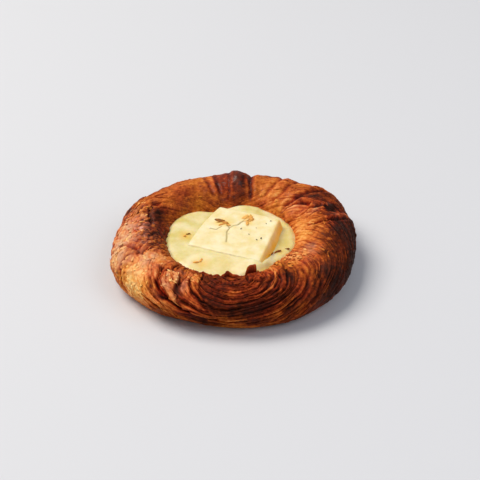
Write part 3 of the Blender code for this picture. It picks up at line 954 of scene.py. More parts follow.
def edge_finish(finish, shape, paler):
    """Finish values of strips: painted shade at the foot, where a strip stands on the skin, and paler along the
    top edge.
    """
    filled = {}
    for key, values in finish.items():
        if key == "height":
            continue
        filled[key] = np.repeat(values.reshape(shape), 4, axis=1).reshape(-1)
    # the two foot corners get painted shade, the two top corners the strip's paler tone
    corner = np.tile(np.array((0.08, -1.0, -1.0, 0.08)), shape[0] * shape[1])
    filled["browning"] = filled["browning"] + np.where(corner > 0, corner, -np.repeat(paler.ravel(), 4))
    filled["groove_and_shade"] = np.where(corner > 0, 0.7, 0.0)
    filled["hollow_shade"] = np.where(corner > 0, 0.8, 0.3)
    return filled


def make_leaf_edges():
    """Thin edges of the dough's leaves, each running along its layer with a ragged top."""
    rng = np.random.default_rng(17)
    azimuth, down, length, height, paler = [], [], [], [], []
    for count, azimuths, downs, lengths, heights, tone in LEAF_EDGES:
        azimuth.append(rng.uniform(*azimuths, count))
        down.append(rng.uniform(*downs, count) * MM)
        length.append(rng.uniform(*lengths, count) * MM)
        height.append(rng.uniform(*heights, count) * MM)
        paler.append(np.full(count, tone) + rng.uniform(-0.1, 0.1, count))
    azimuth, down, length, height, paler = (np.concatenate(v) for v in (azimuth, down, length, height, paler))
    path_azimuth, path_down = [azimuth], [down]
    for _ in range(EDGE_STEPS - 1):
        round_part, down_part = leaf_heading(azimuth, down)
        azimuth = azimuth + np.degrees(round_part * length / EDGE_STEPS / RING_RADIUS)
        down = down + down_part * length / EDGE_STEPS
        path_azimuth.append(azimuth)
        path_down.append(down)
    azimuth, down = np.stack(path_azimuth, axis=1), np.clip(np.stack(path_down, axis=1), *EDGE_SPAN)
    points, normals, finish = crust_skin(azimuth.ravel(), down.ravel())
    shape = azimuth.shape
    points, normals = points.reshape(*shape, 3), normals.reshape(*shape, 3)
    share = np.linspace(0.0, 1.0, EDGE_STEPS)[None, :]
    ragged = 0.75 + 0.55 * rough(points.reshape(-1, 3), 1.6 * MM, 51).reshape(shape)
    taper = smooth_step(share, 0.0, 0.25) * (1.0 - smooth_step(share, 0.7, 1.0))
    heights = height[:, None] * np.clip(ragged, 0.1, 1.4) * taper
    above_cream = smooth_step(down, -10.4 * MM, -7.5 * MM) * (1.0 - smooth_step(down, 25 * MM, 27 * MM))
    heights = heights * above_cream
    points = points - normals * (0.5 * MM * (1.0 - above_cream))[..., None]
    leans = np.repeat(rng.uniform(-0.9, 0.5, shape[0])[:, None], EDGE_STEPS, axis=1)
    body, faces = strip_body(points, normals, heights, leans, EDGE_THICKNESS, EDGE_ROOT)
    tone = np.repeat(paler[:, None], EDGE_STEPS, axis=1)
    return piece_from("leaf_edges", body, faces, edge_finish(finish, shape, tone))


def make_rim_flaps():
    """Torn flaps along the front rim, thin and darker than the skin, that stand against the cream: they lean to
    red, and the foot of each has painted shade.
    """
    azimuth, down, heights = [], [], []
    share = np.linspace(0.0, 1.0, FLAP_STEPS)
    for start, end, place_down, tops in RIM_FLAPS:
        azimuth.append(start + (end - start) * share)
        down.append(np.full(FLAP_STEPS, place_down * MM))
        heights.append(np.interp(share, np.linspace(0.0, 1.0, len(tops)), tops) * MM)
    azimuth, down, heights = np.stack(azimuth), np.stack(down), np.stack(heights)
    points, normals, finish = crust_skin(azimuth.ravel(), down.ravel())
    shape = azimuth.shape
    points = points.reshape(*shape, 3)
    upward = np.zeros((*shape, 3))
    upward[..., 2] = 1.0
    upward += 0.15 * normals.reshape(*shape, 3)
    heights = heights + 0.12 * MM * rough(points.reshape(-1, 3), 1.2 * MM, 52).reshape(shape)
    leans = 0.25 + 0.3 * rough(points.reshape(-1, 3), 3.0 * MM, 53).reshape(shape)
    body, faces = strip_body(points, upward, np.maximum(heights, 0.0), leans, FLAP_THICKNESS, FLAP_ROOT)
    filled = edge_finish(finish, shape, np.full(shape, FLAP_PALER))
    filled["golden"] = np.zeros_like(filled["golden"])
    return piece_from("rim_flaps", body, faces, filled)


def plate_body(origin, along, across, normal, length, breadth, lift, thickness, bend, rng):
    """Points and faces of thin ragged plates: each a disc of rings, closed with an underside."""
    count = len(origin)
    angle = np.linspace(0.0, 2 * math.pi, FLAKE_SIDES, endpoint=False)
    outline = np.ones((count, FLAKE_SIDES))
    for wave in range(2, 7):
        size = rng.uniform(0.0, 0.34 / wave**0.5, (count, 1))
        outline += size * np.cos(wave * angle[None, :] + rng.uniform(0.0, 2 * math.pi, (count, 1)))
    rings = np.linspace(0.0, 1.0, FLAKE_RINGS + 1)[1:]
    spokes = 0.5 * rings[None, :, None] * outline[:, None, :]
    middle = np.zeros((count, 1))
    u, v = (
        np.concatenate([middle, (size[:, None, None] * spokes * way).reshape(count, -1)], axis=1)
        for size, way in ((length, np.cos(angle)), (breadth, np.sin(angle)))
    )
    high = lift[:, None] * np.maximum(u / length[:, None] + 0.5, 0.0) ** 1.5 - (u**2 + v**2) / (2 * bend)
    high += 0.12 * MM * np.sin(u / (0.5 * MM) + 3.0 * angle_seed(count)[:, None]) * np.cos(v / (0.6 * MM))
    rim = np.zeros(u.shape[1], bool)
    rim[-FLAKE_SIDES:] = True
    top = high + np.where(rim, 0.25, 1.0)[None, :] * thickness
    low = high - np.where(rim, 0.25, 1.0)[None, :] * thickness

    def placed(level):
        return (
            origin[:, None, :]
            + u[..., None] * along[:, None, :]
            + v[..., None] * across[:, None, :]
            + level[..., None] * normal[:, None, :]
        )

    points = np.concatenate([placed(top), placed(low)], axis=1)
    each = u.shape[1]
    faces = []
    for plate in range(count):
        for level, flip in ((0, False), (each, True)):
            first = plate * 2 * each + level
            for side in range(FLAKE_SIDES):
                after = (side + 1) % FLAKE_SIDES
                faces.append((first, first + 1 + side, first + 1 + after)[:: -1 if flip else 1])
                for ring in range(FLAKE_RINGS - 1):
                    here = first + 1 + ring * FLAKE_SIDES
                    quad = (here + side, here + FLAKE_SIDES + side, here + FLAKE_SIDES + after, here + after)
                    faces.append(quad[:: -1 if flip else 1])
        rim_top = plate * 2 * each + 1 + (FLAKE_RINGS - 1) * FLAKE_SIDES
        for side in range(FLAKE_SIDES):
            after = (side + 1) % FLAKE_SIDES
            faces.append((rim_top + side, rim_top + each + side, rim_top + each + after, rim_top + after))
    points = points.reshape(-1, 3)
    points[:, 2] = np.maximum(points[:, 2], 0.0)
    return points, faces, each * 2


def angle_seed(count):
    """A repeatable angle for each of count pieces."""
    return np.random.default_rng(count).uniform(0.0, 2 * math.pi, count)


def make_flakes():
    """Flakes of crust that came loose: thin, ragged, with one end up."""
    rng = np.random.default_rng(29)
    azimuth, down, length, breadth, lift, paler = [], [], [], [], [], []
    for count, azimuths, downs, lengths, breadths, up, tone in FLAKES:
        azimuth.append(rng.uniform(*azimuths, count))
        down.append(rng.uniform(*downs, count) * MM)
        length.append(rng.uniform(*lengths, count) * MM)
        breadth.append(rng.uniform(*breadths, count) * MM)
        lift.append(rng.uniform(0.2, 1.0, count) * up * MM)
        paler.append(tone + rng.uniform(-0.1, 0.1, count))
    azimuth, down, length, breadth, lift, paler = (
        np.concatenate(v) for v in (azimuth, down, length, breadth, lift, paler)
    )
    points, normals, finish = crust_skin(azimuth, down)
    round_part, down_part = leaf_heading(azimuth, down)
    turn = math.degrees(0.5 * MM / RING_RADIUS)
    round_way = roll_point(azimuth + turn, down) - roll_point(azimuth - turn, down)
    down_way = roll_point(azimuth, down + 0.5 * MM) - roll_point(azimuth, down - 0.5 * MM)
    along = round_way * round_part[:, None] + down_way * down_part[:, None]
    along /= np.maximum(np.linalg.norm(along, axis=-1, keepdims=True), TINY)
    across = np.cross(normals, along)
    skew = rng.uniform(-0.7, 0.7, len(azimuth)) + math.pi * rng.integers(0, 2, len(azimuth))
    turned = along * np.cos(skew)[:, None] + across * np.sin(skew)[:, None]
    crossed = np.cross(normals, turned)
    origin = points + normals * 0.05 * MM
    body, faces, each = plate_body(
        origin, turned, crossed, normals, length, breadth, lift, FLAKE_THICKNESS, ROLL_GIRTH, rng
    )
    filled = {key: np.repeat(values, each) for key, values in finish.items() if key != "height"}
    filled["browning"] = filled["browning"] - np.repeat(paler, each)
    filled["golden"] = np.clip(filled["golden"] + 1.5 * np.repeat(paler, each), 0.0, 1.0)
    filled["groove_and_shade"] = np.zeros(len(body))
    filled["hollow_shade"] = np.full(len(body), 0.4)
    return piece_from("crust_flakes", body, faces, filled)


# ---------------------------------------------------------------- finishes


def colour(code):
    """A linear colour from an sRGB hex code."""
    parts = [int(code[i : i + 2], 16) / 255 for i in (1, 3, 5)]
    linear = [part / 12.92 if part <= 0.04045 else ((part + 0.055) / 1.055) ** 2.4 for part in parts]
    return (*linear, 1.0)


def wire(tree, node, inputs):
    """Links or sets a node's inputs, given by name or number."""
    for key, value in inputs.items():
        if isinstance(value, bpy.types.NodeSocket):
            tree.links.new(value, node.inputs[key])
        else:
            node.inputs[key].default_value = value


def add(tree, kind, settings=None, inputs=None, stops=()):
    """Adds a node with its settings, its inputs linked or set, and a colour ramp's stops."""
    made = tree.nodes.new(kind)
    for key, value in (settings or {}).items():
        setattr(made, key, value)
    wire(tree, made, inputs or {})
    while stops and len(made.color_ramp.elements) < len(stops):
        made.color_ramp.elements.new(0.5)
    for number, (position, code) in enumerate(stops):
        made.color_ramp.elements[number].position = position
        made.color_ramp.elements[number].color = colour(code)
    return made


def new_finish(name):
    """An empty material with its shader, and object coordinates for its patterns."""
    made = bpy.data.materials.new(name)
    made.use_nodes = True
    tree = made.node_tree
    shader = tree.nodes["Principled BSDF"]
    place = add(tree, "ShaderNodeTexCoord").outputs["Object"]
    return made, tree, shader, place


BAKED_IOR = 1.42  # fat and water, in dough, cream and cheese alike

# How far apart the spots or lines of each pattern lie
LEAF_LINES = 0.625 * MM  # edges of the finest leaves of dough
LEAF_LINE_RUN = 0.22  # the lines change this much as fast along the leaves, so each is about 3 mm long
BLOTCHES = 1.923 * MM  # patches of browning between the blisters
FLAKE_TONES = 1.25 * MM  # flakes of crust, each with a tone of its own
SHRED_BLOTCHES = 1.111 * MM  # browned spots of a shred
CREAM_CLOUDS = 9.09 * MM  # paler and yellower places of the cream
CREAM_GRAIN = 1.111 * MM  # the real grain is too fine to show, so it is drawn this coarse
CHEESE_CLOUDS = 4.545 * MM  # paler and yellower places of the cheese
CHEESE_GRAIN = 0.909 * MM  # curd grain, coarser than the real one so that it shows

# Colours of the crust as it browns, where it leans to gold and where it leans to red
GOLD_CRUST = (
    (0.0, "#FCCF80"),
    (0.18, "#F6B455"),
    (0.34, "#E29138"),
    (0.50, "#BF6C1E"),
    (0.66, "#8C430C"),
    (0.82, "#572204"),
    (1.0, "#2A0E02"),
)
RED_CRUST = (
    (0.0, "#F7BE7E"),
    (0.18, "#EF9A58"),
    (0.34, "#DB7233"),
    (0.50, "#B54C1E"),
    (0.66, "#7F290B"),
    (0.82, "#4E1405"),
    (1.0, "#260702"),
)
CRUST_VALUES = ("browning", "golden", "groove_and_shade", "glaze", "strand", "across", "along", "hollow_shade", "dust_and_sheen")


def baked_crust():
    """Laminated butter dough, egg-washed and baked: gold where it is pale, red-brown to near black where it
    browned, with painted shade in the grooves between the leaves and in the hollows, fine flaky lines along
    the leaves, a pinkish haze of dust and painted sheen, and a thin uneven shine."""
    made, tree, shader, place = new_finish("baked_crust")
    read = {
        key: add(tree, "ShaderNodeAttribute", {"attribute_name": key}).outputs["Fac"] for key in CRUST_VALUES
    }
    # flaky lines along the leaves: the values along and across the leaves are in millimetres
    drawn_out = add(
        tree, "ShaderNodeMath", {"operation": "MULTIPLY"}, {0: read["along"], 1: LEAF_LINE_RUN}
    ).outputs[0]
    leafwise = add(tree, "ShaderNodeCombineXYZ", inputs={"X": read["across"], "Y": drawn_out}).outputs[0]
    lines = add(
        tree,
        "ShaderNodeTexNoise",
        inputs={"Vector": leafwise, "Scale": MM / LEAF_LINES, "Detail": 3.0, "Roughness": 0.6},
    ).outputs["Fac"]
    # blotches of browning, and flakes with a tone of their own and edges that the blotches push about
    blotch = add(
        tree,
        "ShaderNodeTexNoise",
        inputs={"Vector": place, "Scale": 1 / BLOTCHES, "Detail": 4.0, "Roughness": 0.7},
    )
    pushed = add(
        tree, "ShaderNodeVectorMath", {"operation": "SCALE"}, {0: blotch.outputs["Color"], "Scale": 2.2 * MM}
    ).outputs[0]
    pushed = add(tree, "ShaderNodeVectorMath", {"operation": "ADD"}, {0: place, 1: pushed}).outputs[0]
    blotch = blotch.outputs["Fac"]
    flakes = add(
        tree, "ShaderNodeTexVoronoi", inputs={"Vector": pushed, "Scale": 1 / FLAKE_TONES, "Randomness": 1.0}
    )
    flake = add(tree, "ShaderNodeSeparateColor", inputs={"Color": flakes.outputs["Color"]}).outputs[0]
    centred = add(tree, "ShaderNodeMath", {"operation": "SUBTRACT"}, {0: lines, 1: 0.5}).outputs[0]
    streak = add(
        tree, "ShaderNodeMath", {"operation": "MULTIPLY"}, {0: centred, 1: read["strand"]}
    ).outputs[0]
    total = add(
        tree, "ShaderNodeMath", {"operation": "MULTIPLY_ADD"}, {0: streak, 1: 0.55, 2: read["browning"]}
    ).outputs[0]
    # the hollows get painted shade, while the blotches and flake tones vary the brown
    for value, spread in ((blotch, 0.22), (flake, 0.06), (read["hollow_shade"], 0.16)):
        darker = add(tree, "ShaderNodeMapRange", inputs={"Value": value, 3: -spread, 4: spread}).outputs[0]
        total = add(tree, "ShaderNodeMath", {"operation": "ADD"}, {0: total, 1: darker}).outputs[0]
    gold = add(tree, "ShaderNodeValToRGB", inputs={"Fac": total}, stops=GOLD_CRUST).outputs["Color"]
    red = add(tree, "ShaderNodeValToRGB", inputs={"Fac": total}, stops=RED_CRUST).outputs["Color"]
    # over the brown: painted shade, red-brown, in the grooves; and a pinkish tan haze, partly dried starch and
    # partly painted sheen
    skin = red
    for blend, share, over in (
        ("MIX", read["golden"], gold),
        ("MULTIPLY", read["groove_and_shade"], colour("#C45426")),
        ("MIX", read["dust_and_sheen"], colour("#CF9F86")),
    ):
        skin = add(
            tree,
            "ShaderNodeMix",
            {"data_type": "RGBA", "blend_type": blend},
            {"Factor": share, "A": skin, "B": over},
        ).outputs["Result"]
    shine = add(tree, "ShaderNodeMapRange", inputs={"Value": read["glaze"], 3: 0.68, 4: 0.38}).outputs[0]
    # egg wash: a thin patchy coat that glints on the raised flakes
    washed = add(
        tree, "ShaderNodeMapRange", inputs={"Value": blotch, 1: 0.42, 2: 0.62, 3: 0.14, 4: 0.4}
    ).outputs[0]
    coat = add(
        tree, "ShaderNodeMath", {"operation": "MULTIPLY", "use_clamp": True}, {0: washed, 1: read["glaze"]}
    ).outputs[0]
    # the crust's own flakes and pores are too fine to mesh: relief of about 0.2 mm
    relief = add(tree, "ShaderNodeMath", {"operation": "MULTIPLY"}, {0: lines, 1: 0.8}).outputs[0]
    relief = add(tree, "ShaderNodeMath", {"operation": "ADD"}, {0: relief, 1: blotch}).outputs[0]
    flake_step = add(tree, "ShaderNodeMath", {"operation": "MULTIPLY"}, {0: flake, 1: 0.35}).outputs[0]
    relief = add(tree, "ShaderNodeMath", {"operation": "ADD"}, {0: relief, 1: flake_step}).outputs[0]
    bump = add(tree, "ShaderNodeBump", inputs={"Height": relief, "Strength": 0.8, "Distance": 0.5 * MM})
    wire(
        tree,
        shader,
        {
            "Base Color": skin,
            "Roughness": shine,
            "IOR": BAKED_IOR,
            "Specular IOR Level": 0.3,
            "Specular Tint": colour("#F0C0AC"),
            "Coat Weight": coat,
            "Coat Roughness": 0.16,
            "Normal": bump.outputs["Normal"],
        },
    )
    return made


def baked_cream():
    """Custard cream, baked till it set: pale yellow, smooth, moist, and light passes some way into it."""
    made, tree, shader, place = new_finish("baked_cream")
    toast = add(tree, "ShaderNodeAttribute", {"attribute_name": "toast"}).outputs["Fac"]
    cloud = add(
        tree, "ShaderNodeTexNoise", inputs={"Vector": place, "Scale": 1 / CREAM_CLOUDS, "Detail": 4.0}
    )
    tints = ((0.36, "#D8C878"), (0.64, "#EDE2B4"))
    tint = add(tree, "ShaderNodeValToRGB", inputs={"Fac": cloud.outputs["Fac"]}, stops=tints).outputs["Color"]
    cooked = add(
        tree, "ShaderNodeMix", {"data_type": "RGBA"}, {"Factor": toast, "A": tint, "B": colour("#E6B84A")}
    )
    grain = add(
        tree, "ShaderNodeTexNoise", inputs={"Vector": place, "Scale": 1 / CREAM_GRAIN, "Detail": 3.0}
    ).outputs["Fac"]
    bump = add(tree, "ShaderNodeBump", inputs={"Height": grain, "Strength": 0.25, "Distance": 0.2 * MM})
    wire(
        tree,
        shader,
        {
            "Base Color": cooked.outputs["Result"],
            "Roughness": 0.38,
            "IOR": BAKED_IOR,
            "Subsurface Weight": 0.5,
            "Subsurface Radius": (1.0, 0.7, 0.3),
            "Subsurface Scale": 2.5 * MM,
            "Normal": bump.outputs["Normal"],
        },
    )
    return made


def soft_cheese():
    """Fresh cheese, cut square and warmed: ivory and satin, with amber on its right side that is partly a
    browned skin and partly painted shade with warm light thrown back from the crust.
    """
    made, tree, shader, place = new_finish("soft_cheese")
    toast = add(tree, "ShaderNodeAttribute", {"attribute_name": "toast"}).outputs["Fac"]
    crack = add(tree, "ShaderNodeAttribute", {"attribute_name": "crack"}).outputs["Fac"]
    cloud = add(
        tree, "ShaderNodeTexNoise", inputs={"Vector": place, "Scale": 1 / CHEESE_CLOUDS, "Detail": 4.0}
    )
    tints = ((0.34, "#E9D798"), (0.64, "#F4E8C0"))
    skin = add(tree, "ShaderNodeValToRGB", inputs={"Fac": cloud.outputs["Fac"]}, stops=tints).outputs["Color"]
    # toast also carries the right side's amber, partly a browned skin and partly painted shade with bounced
    # light
    for share, code in ((toast, "#FFC018"), (crack, "#A08C50")):
        skin = add(
            tree, "ShaderNodeMix", {"data_type": "RGBA"}, {"Factor": share, "A": skin, "B": colour(code)}
        ).outputs["Result"]
    grain = add(
        tree, "ShaderNodeTexNoise", inputs={"Vector": place, "Scale": 1 / CHEESE_GRAIN, "Detail": 3.0}
    ).outputs["Fac"]
    bump = add(tree, "ShaderNodeBump", inputs={"Height": grain, "Strength": 0.2, "Distance": 0.15 * MM})
    wire(
        tree,
        shader,
        {
            "Base Color": skin,
            "Roughness": 0.42,
            "IOR": BAKED_IOR,
            "Subsurface Weight": 0.3,
            "Subsurface Radius": (1.0, 0.75, 0.4),
            "Subsurface Scale": 2.0 * MM,
            "Normal": bump.outputs["Normal"],
        },
    )
    return made


def toasted_cheese():
    """Thin shreds of cheese that toasted on the slab: gold, darker brown where they are driest."""
    made, tree, shader, place = new_finish("toasted_cheese")
    browning = add(tree, "ShaderNodeAttribute", {"attribute_name": "browning"}).outputs["Fac"]
    blotch = add(
        tree, "ShaderNodeTexNoise", inputs={"Vector": place, "Scale": 1 / SHRED_BLOTCHES, "Detail": 3.0}
    ).outputs["Fac"]
    spread = add(tree, "ShaderNodeMapRange", inputs={"Value": blotch, 3: -0.35, 4: 0.35}).outputs[0]
    total = add(tree, "ShaderNodeMath", {"operation": "ADD"}, {0: browning, 1: spread}).outputs[0]
    tints = ((0.0, "#F8DC9C"), (0.35, "#EDB45E"), (0.65, "#CC8838"), (1.0, "#7E4C18"))
    tint = add(tree, "ShaderNodeValToRGB", inputs={"Fac": total}, stops=tints).outputs["Color"]
    bump = add(tree, "ShaderNodeBump", inputs={"Height": blotch, "Strength": 0.6, "Distance": 0.3 * MM})
    wire(
        tree,
        shader,
        {
            "Base Color": tint,
            "Roughness": 0.5,
            "IOR": BAKED_IOR,
            "Specular IOR Level": 0.3,
            "Normal": bump.outputs["Normal"],
        },
    )
    return made


def pale_floor():
    """Matt paint on a plain floor, pale grey."""
    made, tree, shader, _ = new_finish("pale_floor")
    wire(tree, shader, {"Base Color": colour("#D5D8DE"), "Roughness": 0.7})
    return made


# ---------------------------------------------------------------- cream

# Mounds of the cream: place from the well's middle (x, y), reach and height
MOUNDS = (
    ((-14.0 * MM, -12.0 * MM), 7.0 * MM, 0.8 * MM),
    ((-3.0 * MM, -18.0 * MM), 8.0 * MM, 2.2 * MM),
    ((9.0 * MM, -23.5 * MM), 8.0 * MM, 3.2 * MM),
    ((8.0 * MM, 24.0 * MM), 7.0 * MM, 1.2 * MM),
    ((-20.0 * MM, 10.0 * MM), 8.0 * MM, 0.9 * MM),
    ((25.0 * MM, -1.0 * MM), 6.0 * MM, -0.5 * MM),
)
# Toasted spots of the cream: place from the well's middle, reach and strength
CREAM_TOAST = (
    ((-21.6 * MM, 3.2 * MM), 3.2 * MM, 0.85),
    ((-14.0 * MM, -19.4 * MM), 3.4 * MM, 0.70),
    ((-17.0 * MM, -18.6 * MM), 1.8 * MM, 0.6),
    ((21.0 * MM, -9.0 * MM), 2.4 * MM, 0.5),
    ((-1.0 * MM, -17.0 * MM), 8.0 * MM, 0.16),
)


def slab_local(points):
    """Places in the slab's own frame."""
    turn = np.array(SLAB_TURN.to_matrix())
    return (points - np.array(SLAB_MIDDLE) - np.array((*RING_MIDDLE, 0.0))) @ turn


def slab_world(points):
    """Places on the pastry from places in the slab's own frame."""
    turn = np.array(SLAB_TURN.to_matrix())
    return points @ turn.T + np.array(SLAB_MIDDLE) + np.array((*RING_MIDDLE, 0.0))


def slab_edges(y):
    """Left and right edge of the slab at a place towards its back."""
    taper = 1.0 - 2.0 * SLAB_TAPER * y / SLAB_BREADTH
    middle = SLAB_SKEW * y
    return middle - SLAB_LENGTH / 2 * taper, middle + SLAB_LENGTH / 2 * taper


def flare_share(y):
    """How much of the right side's flare there is, from the slab's front (-0.5) to its back (0.5)."""
    return 1.0 - 0.45 * smooth_step(y, 0.0, 0.5)


def outside_slab(points):
    """Distance from the slab's outline, negative under the slab."""
    x, y, _ = slab_local(points).T
    left, right = slab_edges(y)
    right = right + 0.5 * SLAB_FLARE * flare_share(y / SLAB_BREADTH)
    return np.maximum.reduce([left - x, x - right, np.abs(y) - SLAB_BREADTH / 2])


def from_well_place(x, y, place):
    """Distance from a place given from the well's middle."""
    middle_x, middle_y = (ring + well for ring, well in zip(RING_MIDDLE, WELL_MIDDLE))
    return np.hypot(x - middle_x - place[0], y - middle_y - place[1])


def cream_height(x, y):
    """Height of the cream's top at places on the pastry, with its mounds and its lap against the slab."""
    z = np.full_like(x, CREAM_LEVEL)
    for place, reach, high in MOUNDS:
        z += high * np.exp(-((from_well_place(x, y, place) / reach) ** 2))
    flat = np.stack([x, y, np.full_like(x, CREAM_LEVEL)], axis=-1)
    z += (0.5 * rough(flat, 16 * MM, 31) + 0.18 * rough(flat, 5 * MM, 32)) * MM
    z += 0.04 * rough(flat, 1.8 * MM, 33) * MM
    azimuth = np.degrees(np.arctan2(y - RING_MIDDLE[1], x - RING_MIDDLE[0]))
    to_wall = cream_wall(azimuth) - np.hypot(x - RING_MIDDLE[0], y - RING_MIDDLE[1])
    z -= 1.0 * MM * np.exp(-((np.maximum(to_wall, 0.0) / (1.5 * MM)) ** 2))
    from_slab = outside_slab(np.stack([x, y, z], axis=-1))
    return z + 0.55 * MM * np.exp(-((np.maximum(from_slab, 0.0) / (1.1 * MM)) ** 2))


def cream_wall(azimuth):
    """Radius at which the cream meets the dough."""
    return WELL_WIDTH / 2 + 1.2 * MM + wall_shift(azimuth % 360.0)


CREAM_COLUMNS = 300
CREAM_ROWS = 84
UNDER_SLAB = 5.0 * MM  # how far the cream's top sinks under the slab


def make_cream():
    """The cream as one closed body that fills the well and laps against the slab."""
    azimuths = np.arange(CREAM_COLUMNS) / CREAM_COLUMNS * 360.0
    shares = (np.arange(CREAM_ROWS) + 1) / CREAM_ROWS
    azimuth, share = (a.ravel() for a in np.meshgrid(azimuths, shares))
    turn = np.radians(azimuth)
    wall = cream_wall(azimuth)
    radius = share * (wall + 0.6 * MM)
    x = RING_MIDDLE[0] + radius * np.cos(turn)
    y = RING_MIDDLE[1] + radius * np.sin(turn)
    z = cream_height(x, y)
    to_wall = wall - radius
    from_slab = outside_slab(np.stack([x, y, z], axis=-1))
    z -= UNDER_SLAB * smooth_step(-from_slab, 0.5 * MM, 2.5 * MM)
    top = np.stack([x, y, z], axis=-1)

    toast = np.zeros_like(x)
    for place, reach, strength in CREAM_TOAST:
        toast = np.maximum(toast, strength * np.exp(-((from_well_place(x, y, place) / reach) ** 2)))
    toast = np.maximum(toast, 0.35 * np.exp(-((np.maximum(to_wall, 0.0) / (0.7 * MM)) ** 2)))

    rim = top[-CREAM_COLUMNS:]
    floor = BASE_THICKNESS + 0.3 * MM
    low = rim * np.array((0.93, 0.93, 0.0)) + np.array((0.0, 0.0, floor))
    centre = np.array([[*RING_MIDDLE, z[0]], [*RING_MIDDLE, floor]])
    points = np.concatenate([top, low, centre])
    faces = closed_faces(CREAM_ROWS + 1, CREAM_COLUMNS)
    toast = np.concatenate([toast, np.zeros(CREAM_COLUMNS + 2)])
    cream = piece_from("baked_cream_filling", points, faces, {"toast": toast})
    cream.data.materials.append(baked_cream())
    return cream


# ---------------------------------------------------------------- slab of soft cheese

# Hairline cracks of the slab's top, as paths in its own frame in millimetres
CRACKS = (
    ((-0.9, 9.9), (-1.8, 6.3), (-3.9, 4.2), (-4.6, 1.9), (-4.3, -1.3), (-2.6, -4.7), (-0.8, -8.4)),
    ((-13.0, -1.2), (-9.8, -1.0), (-8.7, 1.7)),
    ((-4.6, 1.9), (-7.0, 3.6)),
)
# Toasted spots of the slab's top: x, y, reach (mm) and strength
SLAB_TOAST = (
    (-10.8, 5.2, 2.4, 0.75),
    (-7.5, 4.2, 2.0, 0.65),
    (-0.8, 12.4, 2.4, 0.80),
    (1.2, 10.6, 1.8, 0.80),
    (1.8, 8.4, 1.3, 0.55),
)
# Toasted shreds that lie on the slab: x, y, length, breadth (mm), direction in degrees, how dark
SLAB_SHREDS = (
    (-12.2, 5.6, 4.4, 2.2, -4, 0.95),
    (-9.2, 5.0, 4.8, 2.0, -14, 0.70),
    (-6.4, 3.9, 3.4, 1.3, -24, 0.50),
    (-9.2, 2.9, 3.4, 1.3, 50, 0.62),
    (-11.2, 4.2, 2.4, 1.0, 30, 0.85),
    (-1.8, 12.0, 4.6, 1.6, 78, 0.40),
    (0.6, 12.4, 5.0, 2.6, -62, 0.48),
    (1.9, 11.0, 3.4, 1.6, 76, 0.55),
    (1.3, 8.2, 4.2, 1.5, -70, 0.42),
    (-0.2, 10.0, 3.0, 1.2, 48, 0.20),
)
# Dark specks on the slab: x, y and size (mm)
SLAB_SPECKS = (
    (10.7, 13.2, 0.75),
    (0.8, 2.9, 0.6),
    (13.0, -0.9, 0.65),
    (11.7, -2.6, 0.5),
    (6.3, 0.2, 0.4),
    (9.8, 10.5, 0.4),
    (7.2, 5.6, 0.35),
    (-2.4, -3.0, 0.3),
)
# Bits of crust on the cream: x, y, length, breadth (mm), direction in degrees, how dark
CREAM_BITS = (
    (-20.6, 4.1, 1.9, 0.9, 15, 0.80),
    (-22.2, 2.6, 1.6, 0.9, -40, 0.35),
    (-14.3, -17.7, 2.4, 0.8, 62, 0.26),
    (-16.4, -18.6, 2.4, 0.8, 8, 0.30),
    (20.5, -8.7, 2.2, 1.3, 10, 0.75),
    (18.8, -10.0, 3.0, 0.8, 42, 0.70),
    (17.0, -12.2, 3.0, 0.7, 56, 0.70),
    (15.4, -14.6, 3.0, 0.7, 60, 0.65),
    (24.4, -6.6, 2.0, 1.2, -20, 0.80),
)


SLAB_MESH = 0.36 * MM  # width of the slab's faces
CRACK_WIDTH = 0.33  # half of it, in millimetres
CRACK_DEPTH = 0.35  # millimetres


def path_distance(x, y, path):
    """Distance from each place to a path of points."""
    nearest = np.full_like(x, FAR)
    for (x0, y0), (x1, y1) in zip(path, path[1:]):
        dx, dy = x1 - x0, y1 - y0
        share = np.clip(((x - x0) * dx + (y - y0) * dy) / (dx * dx + dy * dy), 0.0, 1.0)
        nearest = np.minimum(nearest, np.hypot(x - x0 - share * dx, y - y0 - share * dy))
    return nearest


